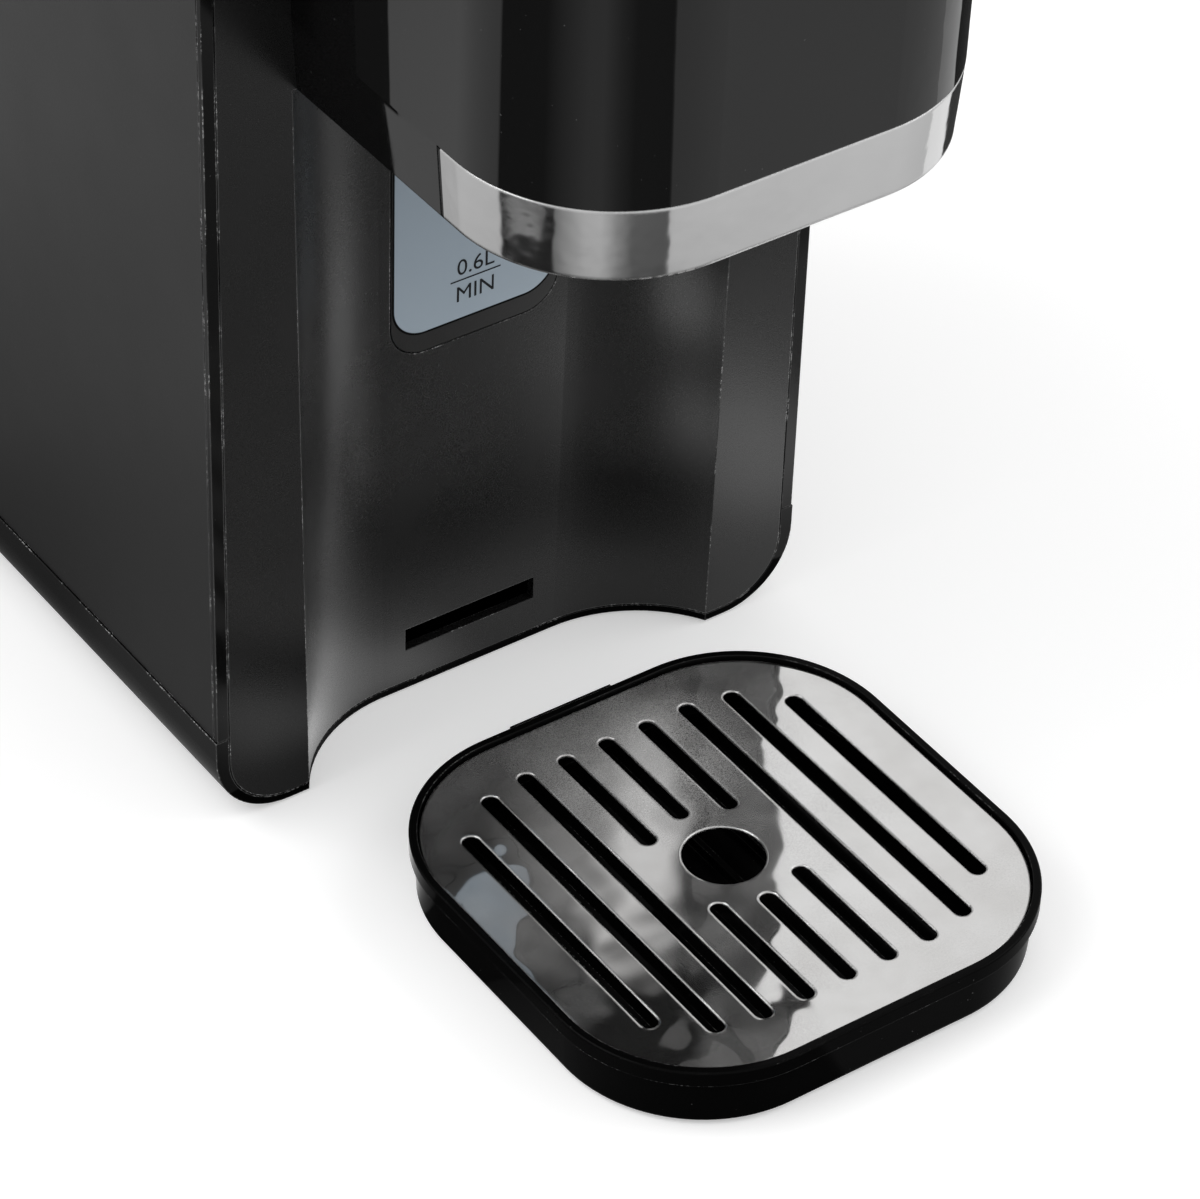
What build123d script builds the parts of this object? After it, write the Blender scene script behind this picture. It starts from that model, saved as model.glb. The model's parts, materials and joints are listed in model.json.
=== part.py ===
# An instant hot water dispenser: a tall casing with a recessed front, an overhanging head
# that pours, a removable water tank at the back and a slotted drip tray that docks into
# the recess. Millimetres; +X is right seen from the front, +Y is back, +Z is up. The origin
# lies on the counter under the middle of the whole machine, with its tray pulled forward.
from build123d import *
import os

# Casing
column_width = 21.0
body_height = 300.0
body_depth = 187.2
body_low_radius = 20.4
body_high_radius = 12.0
casing_wall = 2.5
seam_height = 27.6
seam_gap = 0.3
foot_lift = 0.8
base_plate_thickness = 2.0
strip_width = 3.6
strip_depth = 1.6
cover_step = 0.4
deck_thickness = 2.8
cover_rib_thickness = 1.6
cover_rib_depth = 3.5
cover_rib_count = 4

# Front panel and its recess
panel_wall = 2.6
recess_depth = 19.2
recess_draft = 2.8
dock_gap = 0.6
hook_slot_half_width = 19.4
hook_slot_low = 13.2
hook_slot_high = 19.9
window_half_width = 24.0
window_lift = 18.9
window_top_gap = 9.0
window_radius = 9.6
window_fit = 0.4
window_flange = 1.2
window_flange_width = 2.4
service_half_width = 44.0
service_margin = 14.0
service_top_margin = 12.0
panel_boss_radius = 3.2
panel_boss_length = 6.0

# Head
head_height = 93.0
head_side_inset = 2.4
head_setback = 7.8
head_radius = 39.6
head_wall = 3.2
head_draft_share = 0.013
roof_slope_share = 0.19
roof_wall = 4.0
band_height = 18.6
band_thickness = 0.8
band_tuck = 1.3
band_back_reach = 57.6
band_fit = 0.1
band_edge = 0.5
underside_lift = 0.6
underside_thickness = 2.5
underside_fit = 0.15
touch_margin = 4.0
touch_thickness = 2.0
touch_fit = 0.15
touch_back_margin = 6.0

# Drip tray and plate
tray_size = 130.8
tray_radius = 39.6
tray_height = 18.4
tray_gap = 24.6
tray_lift = 0.6
tray_wall = 2.2
tray_floor = 2.0
tray_rim_height = 4.2
tray_rim_overhang = 1.2
tray_draft = 0.8
tray_foot_round = 2.0
tray_rib_height = 3.0
tray_rib_thickness = 1.6
tray_rib_pairs = 4
tray_rib_margin = 10.0
hook_half_width = 15.0
hook_reach = 3.6
hook_thickness = 1.4
hook_fit = 0.3
tray_pad_radius = 5.0
tray_pad_height = 1.2
tray_pad_inset = 24.0
plate_margin = 2.4
plate_fit = 0.3
plate_thickness = 0.8
plate_skirt = 3.0
plate_drop = 1.2
plate_edge_round = 0.6
slot_edge_margin = 15.0
slot_width = 4.7
finger_hole_radius = 10.3
# Where a slot's outer round is centred, from the middle slot outwards, as shares of the
# plate's half size.
slot_outer_shares = (0.770, 0.770, 0.768, 0.732, 0.581)
# The same for the inner rounds of the slots that stop short of the finger hole.
slot_inner_shares = (0.290, 0.235)

# Water tank
tank_side_gap = 18.4
tank_back_gap = 8.6
tank_radius = 14.0
tank_wall = 2.4
tank_floor_thickness = 2.6
tank_bottom = 85.9
tank_rim_height = 7.7
tank_gap = 0.8
rest_gap = 0.3
rim_inset = 5.0
lid_thickness = 2.4
lid_skirt_wall = 1.8
lid_clearance = 0.3
lid_edge_gap = 0.4
lid_barrel_radius = 5.4
lid_top_drop = 0.3
lid_barrel_inset = 6.0
lid_corner_gap = 1.8
lid_pin_radius = 1.5
lid_pin_fit = 0.05
lid_pin_grip = 12.0
ear_width = 6.0
ear_place = 40.0
ear_gap = 0.3
notch_half_width = 18.0
notch_depth = 2.2
deck_tank_gap = 1.0
deck_collar_depth = 9.0
deck_collar_wall = 1.6

# Tank valve and the dock under it
valve_offset = 34.7
spout_radius = 10.9
spout_wall = 2.3
spout_drop = 12.0
valve_stem_radius = 1.6
valve_guide_fit = 0.05
valve_disc_radius = 10.0
valve_disc_thickness = 1.5
valve_seal_thickness = 1.2
valve_seal_lift = 0.1
valve_foot_radius = 4.4
valve_foot_thickness = 1.2
cage_wall = 1.7
cage_height = 9.0
cage_hub_radius = 3.4
cage_spoke_width = 1.6
cage_spoke_thickness = 1.9
spring_wire = 0.35
spring_radius = 3.0
spring_turns = 4
filter_radius = 17.0
filter_height = 8.5
filter_wall = 1.0
filter_hole_radius = 1.5
filter_hole_ring = 10.5
filter_hole_count = 10
dock_wall = 3.4
dock_flange = 4.0
dock_flange_thickness = 3.0
dock_depth = 19.0
dock_socket_fit = 0.5
dock_socket_depth = 13.6
dock_seal_wire = 1.0
dock_seal_fit = 0.1
dock_seal_depth = 7.6
dock_pin_radius = 1.5
dock_pin_gap = 0.3

# Chassis under the tank
shelf_thickness = 3.0
shelf_side_gap = 10.4
shelf_front_margin = 3.0
shelf_back_margin = 2.0
shelf_radius = 8.0
shelf_rim_height = 6.0
shelf_rim_wall = 2.0
shelf_rim_start = 14.0
leg_radius = 5.0
leg_side_inset = 16.4
leg_front_inset = 14.0
leg_back_inset = 9.0
leg_boss_height = 8.0

# Pump, heater and their hoses
pump_meter_gap = 2.0
pump_z = 30.0
pump_setback = 57.9
pump_head_size = 32.0
pump_head_length = 20.0
pump_motor_radius = 14.0
pump_motor_length = 48.0
pump_mount_half_width = 13.0
pump_mount_margin = 4.0
pump_mount_height = 17.0
pump_port_spacing = 8.0
heater_side_inset = 37.4
heater_z = 34.0
heater_setback = 61.9
heater_back_gap = 31.3
heater_radius = 15.0
heater_cap_radius = 17.0
heater_cap_length = 8.0
heater_saddle_inset = 16.0
heater_saddle_thickness = 3.0
heater_saddle_half_width = 16.5
heater_saddle_rise = 26.0
heater_base_thickness = 2.0
cutout_radius = 8.0
cutout_height = 9.0
sensor_radius = 2.6
sensor_height = 12.0
meter_side_inset = 39.4
meter_setback = 79.9
meter_width = 18.0
meter_length = 26.0
meter_post_width = 8.0
hose_radius = 4.0
barb_radius = 2.5
barb_bore_radius = 1.6
barb_length = 8.0
dock_barb_z = 69.0
duct_side_inset = 16.4
duct_setback = 12.9
duct_low = 52.0
hose_turn_setback = 37.9
small_bend = 9.0
large_bend = 14.0

# Outlet
separator_radius = 19.0
separator_wall = 1.8
separator_height = 34.0
separator_inlet_drop = 6.0
nozzle_flange_radius = 9.0
nozzle_flange_thickness = 2.0
nozzle_radius = 6.0
nozzle_tip_radius = 4.4
nozzle_bore_radius = 3.0
nozzle_drop = 9.0
nozzle_taper_drop = 4.0
nozzle_fit = 0.15

# Boards and wiring
board_thickness = 1.6
board_side_inset = 9.9
board_setback = 59.9
board_back_gap = 35.3
power_board_low = 11.0
power_board_high = 74.0
board_rail_half_width = 2.6
relay_length = 22.0
relay_depth = 12.0
relay_height = 16.0
sink_length = 34.0
sink_depth = 13.0
sink_height = 24.0
sink_fins = 6
sink_fin_thickness = 1.2
sink_base = 2.4
terminal_length = 20.0
terminal_depth = 9.0
terminal_height = 10.0
terminal_ways = 3
control_board_half_width = 36.0
control_board_front_margin = 24.0
control_board_back_margin = 34.0
control_post = 6.0
control_post_radius = 3.0
control_post_inset = 4.0
lead_radius = 3.4
wire_radius = 1.3
wire_bend = 6.0
cable_radius = 2.4
gland_radius = 6.4
gland_flange_radius = 9.0
gland_flange_thickness = 1.2
gland_length = 9.0
gland_bore_radius = 3.6
gland_side_inset = 30.4
gland_z = 46.0

# Feet, vents and screws
foot_radius = 8.0
foot_height = 2.0
foot_side_inset = 30.4
foot_front_inset = 38.0
foot_back_inset = 16.0
vent_count = 7
vent_width = 2.6
vent_pitch = 7.0
vent_length = 44.0
vent_low = 118.0
floor_vent_count = 6
floor_vent_length = 34.0
screw_radius = 1.5
screw_head_radius = 3.0
screw_head_height = 1.6
screw_clear = 0.2
base_screw_length = 12.0
head_screw_length = 12.0
head_boss_radius = 4.0
head_boss_length = 14.0
head_boss_inset = 2.8
head_screw_low = 20.0
head_screw_high = 66.0
rear_screw_length = 8.0
rear_screw_boss = 7.0
rear_screw_inset_x = 12.0
rear_screw_low = 16.0
rear_screw_high = 20.0

quarter_turn = 90
overrun = 1.0

# Places worked out from the sizes
body_width = tray_size + 2 * column_width
overall_depth = body_depth + tray_gap + tray_size
back_y = overall_depth / 2
front_y = back_y - body_depth
tray_y = -overall_depth / 2 + tray_size / 2
recess_back_y = front_y + recess_depth
docked_y = recess_back_y - dock_gap - tray_size / 2
half_width = body_width / 2
head_half_width = tray_size / 2 - head_side_inset
head_reach = tray_size + dock_gap - recess_depth - head_setback
head_bottom = body_height - head_height
deck_half_width = half_width - body_high_radius
deck_bottom = body_height - deck_thickness
floor_top = foot_lift + casing_wall
panel_bottom = foot_lift + base_plate_thickness
band_top = head_bottom + band_height
window_low = tank_bottom + window_lift
window_high = head_bottom - window_top_gap
band_back_y = front_y - band_back_reach
tank_front_y = recess_back_y + panel_wall + window_flange + tank_gap
tank_back_y = back_y - tank_back_gap
tank_width = body_width - 2 * tank_side_gap
tank_depth = tank_back_y - tank_front_y
tank_mid_y = (tank_front_y + tank_back_y) / 2
tank_floor_z = tank_bottom + tank_floor_thickness
lid_top = body_height - lid_top_drop
hinge_z = lid_top - lid_barrel_radius
hinge_y = tank_back_y - lid_barrel_inset
rim_top = hinge_z - rest_gap - lid_clearance
tank_top = rim_top - tank_rim_height
shelf_top = tank_bottom - rest_gap
shelf_half_width = half_width - shelf_side_gap
leg_x = half_width - leg_side_inset
shelf_bottom = shelf_top - shelf_thickness
spout_end = tank_bottom - spout_drop
dock_bottom = shelf_top - dock_depth
dock_floor = shelf_top - dock_socket_depth
valve_seal_z = tank_floor_z + valve_seal_lift
valve_disc_z = valve_seal_z + valve_seal_thickness
cage_top = tank_bottom
spider_bottom = cage_top - cage_spoke_thickness
valve_foot_z = spout_end + valve_foot_thickness
valve_foot_top = valve_foot_z + valve_foot_thickness
meter_x = meter_side_inset - half_width
meter_front = front_y + meter_setback
pump_x = meter_x + (meter_width + pump_head_size) / 2 + pump_meter_gap
pump_front = front_y + pump_setback
pump_back = pump_front + pump_head_length + pump_motor_length
heater_x = half_width - heater_side_inset
heater_front = front_y + heater_setback
heater_back = back_y - heater_back_gap
valve_x = pump_x
valve_y = tank_mid_y + valve_offset
duct_x = half_width - duct_side_inset
duct_y = front_y + duct_setback
hose_lane_x = (pump_x + pump_head_size / 2 + heater_x - heater_cap_radius) / 2
hose_turn_front = front_y + hose_turn_setback
power_board_x = board_side_inset - half_width
power_board_front = front_y + board_setback
power_board_back = back_y - board_back_gap
gland_x = gland_side_inset - half_width
foot_x = half_width - foot_side_inset
plate_top = tray_height - plate_drop
plate_bottom = plate_top - plate_skirt
plate_half = tray_size / 2 - plate_margin
slot_pitch = (plate_half - slot_edge_margin) / (len(slot_outer_shares) - 1)
rim_low = tray_height - tray_rim_height
separator_z = head_bottom + underside_lift + underside_thickness + nozzle_flange_thickness
separator_top = separator_z + separator_height
inlet_z = separator_top - separator_inlet_drop


def block(x0, x1, y0, y1, z0, z1):
    """A box between two corners."""
    return Pos((x0 + x1) / 2, (y0 + y1) / 2, (z0 + z1) / 2) * Box(x1 - x0, y1 - y0, z1 - z0)


def slab(width, depth, radius, z0, z1, x=0, y=0):
    """An upright prism on a rounded rectangle."""
    return Pos(x, y, z0) * extrude(RectangleRounded(width, depth, radius), z1 - z0)


def rod_x(x0, x1, y, z, radius):
    return Pos((x0 + x1) / 2, y, z) * Rot(0, quarter_turn, 0) * Cylinder(radius, x1 - x0)


def rod_y(x, y0, y1, z, radius):
    return Pos(x, (y0 + y1) / 2, z) * Rot(quarter_turn, 0, 0) * Cylinder(radius, y1 - y0)


def rod_z(x, y, z0, z1, radius):
    return Pos(x, y, (z0 + z1) / 2) * Cylinder(radius, z1 - z0)


def along_y(sketch, y0, y1):
    """A sketch drawn as seen from the front, carried back from y0 to y1."""
    plane = Plane(origin=(0, y0, 0), x_dir=(1, 0, 0), z_dir=(0, -1, 0))
    return extrude(plane * sketch, y0 - y1)


def along_x(sketch, x0, x1):
    """A sketch drawn in Y and Z, carried across from x0 to x1."""
    plane = Plane(origin=(x0, 0, 0), x_dir=(0, 1, 0), z_dir=(1, 0, 0))
    return extrude(plane * sketch, x1 - x0)


def both_sides(shape):
    """The shape and its mirror image in the machine's middle plane."""
    return shape + mirror(shape, Plane.YZ)


def hose(points, radii, outer, bore):
    """A round tube along straight runs joined by tangent arcs."""
    path = FilletPolyline(*points, radius=radii)
    start = Plane(origin=path @ 0, z_dir=path % 0)
    section = start * (Circle(outer) - Circle(bore)) if bore else start * Circle(outer)
    tube = sweep(section, path=path)
    print("run", round(path.length), "volume ratio", round(tube.volume / (section.area * path.length), 4))
    return tube


def casing_section(inset):
    """The casing seen from the front: a rectangle with large lower and smaller upper rounds."""
    low, high = foot_lift + inset, body_height - inset
    section = Pos(0, (low + high) / 2) * Rectangle(body_width - 2 * inset, high - low)
    section = fillet(section.vertices().sort_by(Axis.Y)[:2], body_low_radius - inset)
    return fillet(section.vertices().sort_by(Axis.Y)[-2:], body_high_radius - inset)


def casing_ring(inset, wall, y0, y1, z0, z1):
    """Part of the casing's wall between two depths and two heights."""
    ring = along_y(casing_section(inset) - casing_section(inset + wall), y0, y1)
    return ring & block(-half_width, half_width, y0, y1, z0, z1)


def panel_section(grow):
    """The front panel's outline inside the rim that the base tub and the strips make round it."""
    inset = strip_width + seam_gap - grow
    low, high = panel_bottom + seam_gap - grow, body_height - inset
    section = Pos(0, (low + high) / 2) * Rectangle(body_width - 2 * inset, high - low)
    section = fillet(section.vertices().sort_by(Axis.Y)[:2], body_low_radius - inset)
    return fillet(section.vertices().sort_by(Axis.Y)[-2:], body_high_radius - inset)


def recess_form(grow, top):
    """The docked tray's outline with its running gap, widening upwards by the recess's draft."""

    def section(z):
        side = tray_size / 2 + dock_gap + grow
        wide = side + recess_draft * z / head_bottom
        outline = RectangleRounded(2 * wide, 2 * side, tray_radius + dock_gap + grow)
        return Pos(0, docked_y, z) * outline

    return loft([section(0), section(top)], ruled=True)


def roof_profile(low, drop):
    """The head seen from the side, under a roof that falls towards the front."""
    far = front_y - head_reach - head_wall
    far_height = body_height - (front_y - far) * roof_slope_share
    corners = [(far, low), (front_y, low), (front_y, body_height - drop), (far, far_height - drop)]
    return make_face(Polyline(*corners, close=True))


def head_section(z, grow):
    """The head's plan at one height, grown or shrunk."""
    wide, deep = 2 * (head_half_width + grow), 2 * (head_reach + grow)
    return Pos(0, front_y, z) * RectangleRounded(wide, deep, head_radius + grow)


def head_form(inset, drop):
    """The head's outer form, or a smaller one inside it: drawn in at the foot, wider at the roof."""
    flare = head_draft_share * (body_height - band_top)
    heights = ((head_bottom, -band_tuck), (band_top, 0), (body_height, flare))
    form = loft([head_section(z, grow - inset) for z, grow in heights], ruled=True)
    return form & along_x(roof_profile(head_bottom, drop), -half_width, half_width)


def roof_layer(top_drop, bottom_drop):
    """A layer that follows the roof's slope, between two depths under it."""
    layer = roof_profile(head_bottom, top_drop) - roof_profile(head_bottom, bottom_drop)
    return along_x(layer, -half_width, half_width)


def band_zone():
    far = front_y - head_reach - head_wall
    return block(-half_width, half_width, far, band_back_y, head_bottom, band_top)


def base_tub():
    inner_front = front_y + panel_wall + seam_gap
    walls = casing_ring(0, casing_wall, inner_front, back_y, 0, seam_height - seam_gap)
    rear = along_y(casing_section(0), back_y - casing_wall, back_y)
    rear = rear & block(-half_width, half_width, inner_front, back_y, 0, seam_height - seam_gap)
    plate = along_y(casing_section(0), front_y, back_y)
    plate = plate & block(-half_width, half_width, front_y, back_y, 0, panel_bottom)
    rim_back = inner_front + casing_wall
    rim = along_y(casing_section(0) - panel_section(seam_gap), front_y, rim_back)
    walls += rim & block(-half_width, half_width, front_y, rim_back, 0, seam_height - seam_gap)
    tub = walls - recess_form(panel_wall + seam_gap, seam_height) + rear
    tub += plate - recess_form(0, seam_height)
    for x, y in leg_places():
        tub += rod_z(x, y, panel_bottom, floor_top + leg_boss_height, leg_radius)
    tub += board_rail(panel_bottom, power_board_low) & along_y(casing_section(0), front_y, back_y)
    post_mid = meter_front + meter_length / 2
    tub += block(
        meter_x - meter_post_width / 2, meter_x + meter_post_width / 2,
        post_mid - meter_post_width / 2, post_mid + meter_post_width / 2,
        panel_bottom, pump_z - meter_width / 2,
    )
    for x, y in foot_places():
        tub -= rod_z(x, y, 0, foot_height, foot_radius)
    for x, y in leg_places():
        tub -= rod_z(x, y, 0, foot_lift + screw_head_height, screw_head_radius + screw_clear)
        tub -= rod_z(x, y, 0, floor_top + leg_boss_height + overrun, screw_radius + screw_clear)
    for i in range(floor_vent_count):
        y = heater_front + heater_saddle_inset + heater_saddle_thickness + vent_pitch * (i + 1)
        radius = vent_width / 2 - seam_gap
        tub -= slab(floor_vent_length, vent_width, radius, 0, floor_top + overrun, heater_x, y)
    return tub


def board_rail(z0, z1):
    """A rail that holds the power board's lower or upper edge."""
    x0, x1 = power_board_x - board_rail_half_width, power_board_x + board_rail_half_width
    return block(x0, x1, power_board_front, power_board_back, z0, z1)


def leg_places():
    """Where the chassis stands on the tub's bosses."""
    rows = (tank_front_y + leg_front_inset, tank_back_y - leg_back_inset)
    return [(x, y) for x in (-leg_x, leg_x) for y in rows]


def foot_places():
    rows = (recess_back_y + foot_front_inset, back_y - foot_back_inset)
    return [(x, y) for x in (-foot_x, foot_x) for y in rows]


def front_panel():
    deep = recess_back_y + panel_wall
    outline = along_y(panel_section(0), front_y, deep)
    skin = outline & block(-half_width, half_width, front_y, front_y + panel_wall, 0, body_height)
    pocket = recess_form(panel_wall, head_bottom + panel_wall) & outline
    panel = skin + pocket - recess_form(0, head_bottom)
    panel -= window_cut(window_fit, recess_back_y - overrun, deep + overrun)
    slot_mid = (hook_slot_low + hook_slot_high) / 2
    slot = Pos(0, slot_mid) * Rectangle(2 * hook_slot_half_width, hook_slot_high - hook_slot_low)
    panel -= along_y(slot, recess_back_y - overrun, deep + overrun)
    panel -= block(
        -service_half_width, service_half_width, front_y - overrun, front_y + panel_wall + overrun,
        head_bottom + panel_wall + service_margin, body_height - service_top_margin,
    )
    for x, z in panel_boss_places():
        end = front_y + panel_wall + panel_boss_length
        panel += rod_y(x, front_y + panel_wall / 2, end, z, panel_boss_radius)
    for x, z in head_screw_places():
        panel -= rod_y(x, front_y - overrun, front_y + panel_wall + overrun, z, screw_radius + screw_clear)
    return panel


def panel_boss_places():
    x = half_width - strip_width - seam_gap - panel_boss_radius
    levels = (seam_height + service_margin, body_height / 2, body_height - 2 * service_margin)
    return [(side * x, z) for side in (-1, 1) for z in levels]


def window_cut(grow, y0, y1):
    wide = 2 * (window_half_width + grow)
    tall = window_high - window_low + 2 * grow
    outline = Pos(0, (window_low + window_high) / 2) * RectangleRounded(wide, tall, window_radius + grow)
    return along_y(outline, y0, y1)


def level_window():
    back = recess_back_y + panel_wall
    pane = window_cut(0, recess_back_y, back)
    return pane + window_cut(window_flange_width, back, back + window_flange)


def side_cover(side):
    y0 = front_y + strip_depth + seam_gap
    y1 = back_y - casing_wall - seam_gap
    shell = casing_ring(cover_step, casing_wall, y0, y1, seam_height, body_height)
    pitch = (y1 - y0) / (cover_rib_count + 1)
    ribs = casing_ring(casing_wall / 2, cover_rib_depth + casing_wall / 2, y0, y1, seam_height, deck_bottom)
    for i in range(cover_rib_count):
        y = y0 + pitch * (i + 1)
        shell += ribs & block(-half_width, half_width, y, y + cover_rib_thickness, seam_height, deck_bottom)
    x0, x1 = sorted((side * (deck_half_width + seam_gap), side * half_width))
    return shell & block(x0, x1, y0, y1, seam_height, body_height)


def trim_strip(side):
    wide = strip_width - cover_step
    ring = casing_ring(cover_step, wide, front_y, front_y + strip_depth, seam_height, body_height)
    x0, x1 = sorted((side * (deck_half_width + seam_gap), side * half_width))
    return ring & block(x0, x1, front_y, front_y + strip_depth, seam_height, body_height)


def rear_cover():
    cover = along_y(casing_section(cover_step), back_y - casing_wall, back_y)
    cover = cover & block(-half_width, half_width, back_y - casing_wall, back_y, seam_height, body_height)
    start = back_y - casing_wall - rear_screw_boss
    for x, z in rear_screw_places():
        cover += rod_y(x, start, back_y - casing_wall / 2, z, head_boss_radius)
    for x, z in rear_screw_places():
        cover -= rod_y(x, back_y - screw_head_height, back_y + overrun, z, screw_head_radius + screw_clear)
        cover -= rod_y(x, back_y - rear_screw_length - screw_head_height, back_y, z, screw_radius)
    cover -= rod_y(gland_x, back_y - casing_wall - overrun, back_y + overrun, gland_z, gland_radius)
    cover -= rod_y(gland_x, back_y - gland_flange_thickness, back_y + overrun, gland_z, gland_flange_radius)
    for i in range(vent_count):
        slot = Pos(0, vent_low + vent_pitch * i) * SlotOverall(vent_length, vent_width)
        cover -= along_y(slot, back_y - casing_wall - overrun, back_y + overrun)
    return cover


def rear_screw_places():
    x = half_width - rear_screw_inset_x
    levels = (seam_height + rear_screw_low, body_height - rear_screw_high)
    return [(side * x, z) for side in (-1, 1) for z in levels]


def top_deck():
    y1 = back_y - casing_wall - seam_gap
    deck = block(-deck_half_width, deck_half_width, front_y, y1, deck_bottom, body_height)
    low = deck_bottom - deck_collar_depth
    deck += tank_outline(deck_tank_gap + deck_collar_wall, low, body_height)
    return deck - tank_outline(deck_tank_gap, low - overrun, body_height + overrun)


def tank_outline(grow, z0, z1):
    """The tank's rounded outline, grown or shrunk, between two heights."""
    width, depth = tank_width + 2 * grow, tank_depth + 2 * grow
    return slab(width, depth, tank_radius + grow, z0, z1, 0, tank_mid_y)


def head_screw_places():
    x = head_half_width - head_wall - head_boss_inset
    levels = (head_bottom + head_screw_low, head_bottom + head_screw_high)
    return [(side * x, z) for side in (-1, 1) for z in levels]


def control_post_places():
    x = control_board_half_width - control_post_inset
    y0 = front_y - head_reach + control_board_front_margin + control_post_inset
    y1 = front_y - control_board_back_margin - control_post_inset
    return [(side * x, y) for side in (-1, 1) for y in (y0, y1)]


def head_shell():
    shell = head_form(0, 0) - head_form(head_wall, roof_wall)
    shell -= band_zone() - head_form(band_thickness + band_fit, 0)
    shell -= touch_form(touch_fit, touch_thickness)
    for x, z in head_screw_places():
        shell += rod_y(x, front_y - head_boss_length, front_y, z, head_boss_radius)
        shell -= rod_y(x, front_y - head_boss_length - overrun, front_y + overrun, z, screw_radius)
    layer = roof_layer(roof_wall - touch_fit, roof_wall + control_post)
    for x, y in control_post_places():
        shell += rod_z(x, y, head_bottom, body_height, control_post_radius) & layer
    return shell


def touch_form(grow, depth):
    """The touch panel's place in the roof."""
    layer = roof_layer(0, depth)
    back = front_y - touch_back_margin + grow
    trim = block(-half_width, half_width, front_y - 2 * head_reach, back, head_bottom, body_height)
    return head_form(touch_margin - grow, 0) & layer & trim


def touch_panel():
    return touch_form(0, touch_thickness)


def chrome_band():
    bevel = [head_section(head_bottom, band_height - band_edge), head_section(band_top, -band_edge)]
    band = head_form(0, 0) & band_zone() & loft(bevel, ruled=True)
    return band - head_form(band_thickness, 0)


def head_underside():
    low = head_bottom + underside_lift
    high = low + underside_thickness
    plate = head_form(head_wall + underside_fit, 0)
    plate = plate & block(-half_width, half_width, -overall_depth, front_y, low, high)
    return plate - rod_z(0, docked_y, low - overrun, high + overrun, nozzle_radius + nozzle_fit)


def outlet_nozzle():
    low = head_bottom + underside_lift + underside_thickness
    tip = head_bottom - nozzle_drop
    nozzle = rod_z(0, docked_y, tip + nozzle_taper_drop, low, nozzle_radius)
    nozzle += rod_z(0, docked_y, low, separator_z, nozzle_flange_radius)
    taper = (nozzle_radius, nozzle_tip_radius)
    cone = Cone(taper[1], taper[0], nozzle_taper_drop)
    nozzle += Pos(0, docked_y, tip + nozzle_taper_drop / 2) * cone
    return nozzle - rod_z(0, docked_y, tip - overrun, separator_z + overrun, nozzle_bore_radius)


def steam_separator():
    top = separator_top
    body = rod_z(0, docked_y, separator_z, top, separator_radius)
    inside = separator_radius - separator_wall
    body -= rod_z(0, docked_y, separator_z + separator_wall, top - separator_wall, inside)
    body += rod_z(0, docked_y, top - separator_wall / 2, top + barb_length / 2, barb_radius)
    edge = docked_y + separator_radius
    body += rod_y(0, edge - separator_wall, edge + barb_length, inlet_z, barb_radius)
    body -= rod_y(0, edge - 2 * separator_wall, edge + barb_length + overrun, inlet_z, barb_bore_radius)
    body -= rod_z(0, docked_y, top - 2 * separator_wall, top + barb_length, barb_bore_radius)
    low = separator_z - overrun
    return body - rod_z(0, docked_y, low, separator_z + 2 * separator_wall, nozzle_bore_radius)


def control_board():
    low = roof_wall + control_post
    layer = roof_layer(low, low + board_thickness)
    y0 = front_y - head_reach + control_board_front_margin
    y1 = front_y - control_board_back_margin
    half = control_board_half_width
    return layer & block(-half, half, y0, y1, head_bottom, body_height)


def rubber_feet():
    return [rod_z(x, y, 0, foot_height, foot_radius) for x, y in foot_places()]


def base_screws():
    screws = []
    for x, y in leg_places():
        head = rod_z(x, y, foot_lift, foot_lift + screw_head_height, screw_head_radius)
        screws.append(head + rod_z(x, y, foot_lift, foot_lift + base_screw_length, screw_radius))
    return screws


def head_screws():
    y = front_y + panel_wall
    screws = []
    for x, z in head_screw_places():
        shank = rod_y(x, y - head_screw_length, y, z, screw_radius)
        screws.append(shank + rod_y(x, y, y + screw_head_height, z, screw_head_radius))
    return screws


def rear_cover_screws():
    screws = []
    for x, z in rear_screw_places():
        mid = back_y - screw_head_height / 2
        head = rod_y(x, back_y - screw_head_height, back_y, z, screw_head_radius)
        shank = rod_y(x, back_y - rear_screw_length, mid, z, screw_radius)
        screws.append(head + shank - rod_y(x, mid, back_y + overrun, z, screw_radius))
    return screws


def cable_gland():
    gland = rod_y(gland_x, back_y - gland_length, back_y, gland_z, gland_radius)
    gland += rod_y(gland_x, back_y - gland_flange_thickness, back_y, gland_z, gland_flange_radius)
    start = back_y - gland_length - overrun
    return gland - rod_y(gland_x, start, back_y + overrun, gland_z, gland_bore_radius)


def tank_shelf():
    y0 = tank_front_y + shelf_front_margin
    y1 = back_y - casing_wall - shelf_back_margin
    mid, depth = (y0 + y1) / 2, y1 - y0
    shelf = slab(2 * shelf_half_width, depth, shelf_radius, shelf_bottom, shelf_top, 0, mid)
    rim = tank_outline(tank_gap + shelf_rim_wall, shelf_bottom, shelf_top + shelf_rim_height)
    rim -= tank_outline(tank_gap, shelf_bottom, shelf_top + shelf_rim_height)
    rim_start = tank_front_y + shelf_rim_start
    shelf += rim & block(-half_width, half_width, rim_start, back_y, shelf_bottom, tank_top)
    for x, y in leg_places():
        shelf += rod_z(x, y, floor_top + leg_boss_height, shelf_bottom, leg_radius)
        shelf -= rod_z(x, y, floor_top, foot_lift + base_screw_length, screw_radius)
    shelf += board_rail(power_board_high, shelf_top)
    outer = spout_radius + dock_wall
    return shelf - rod_z(valve_x, valve_y, shelf_bottom - overrun, shelf_top + overrun, outer)


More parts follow.
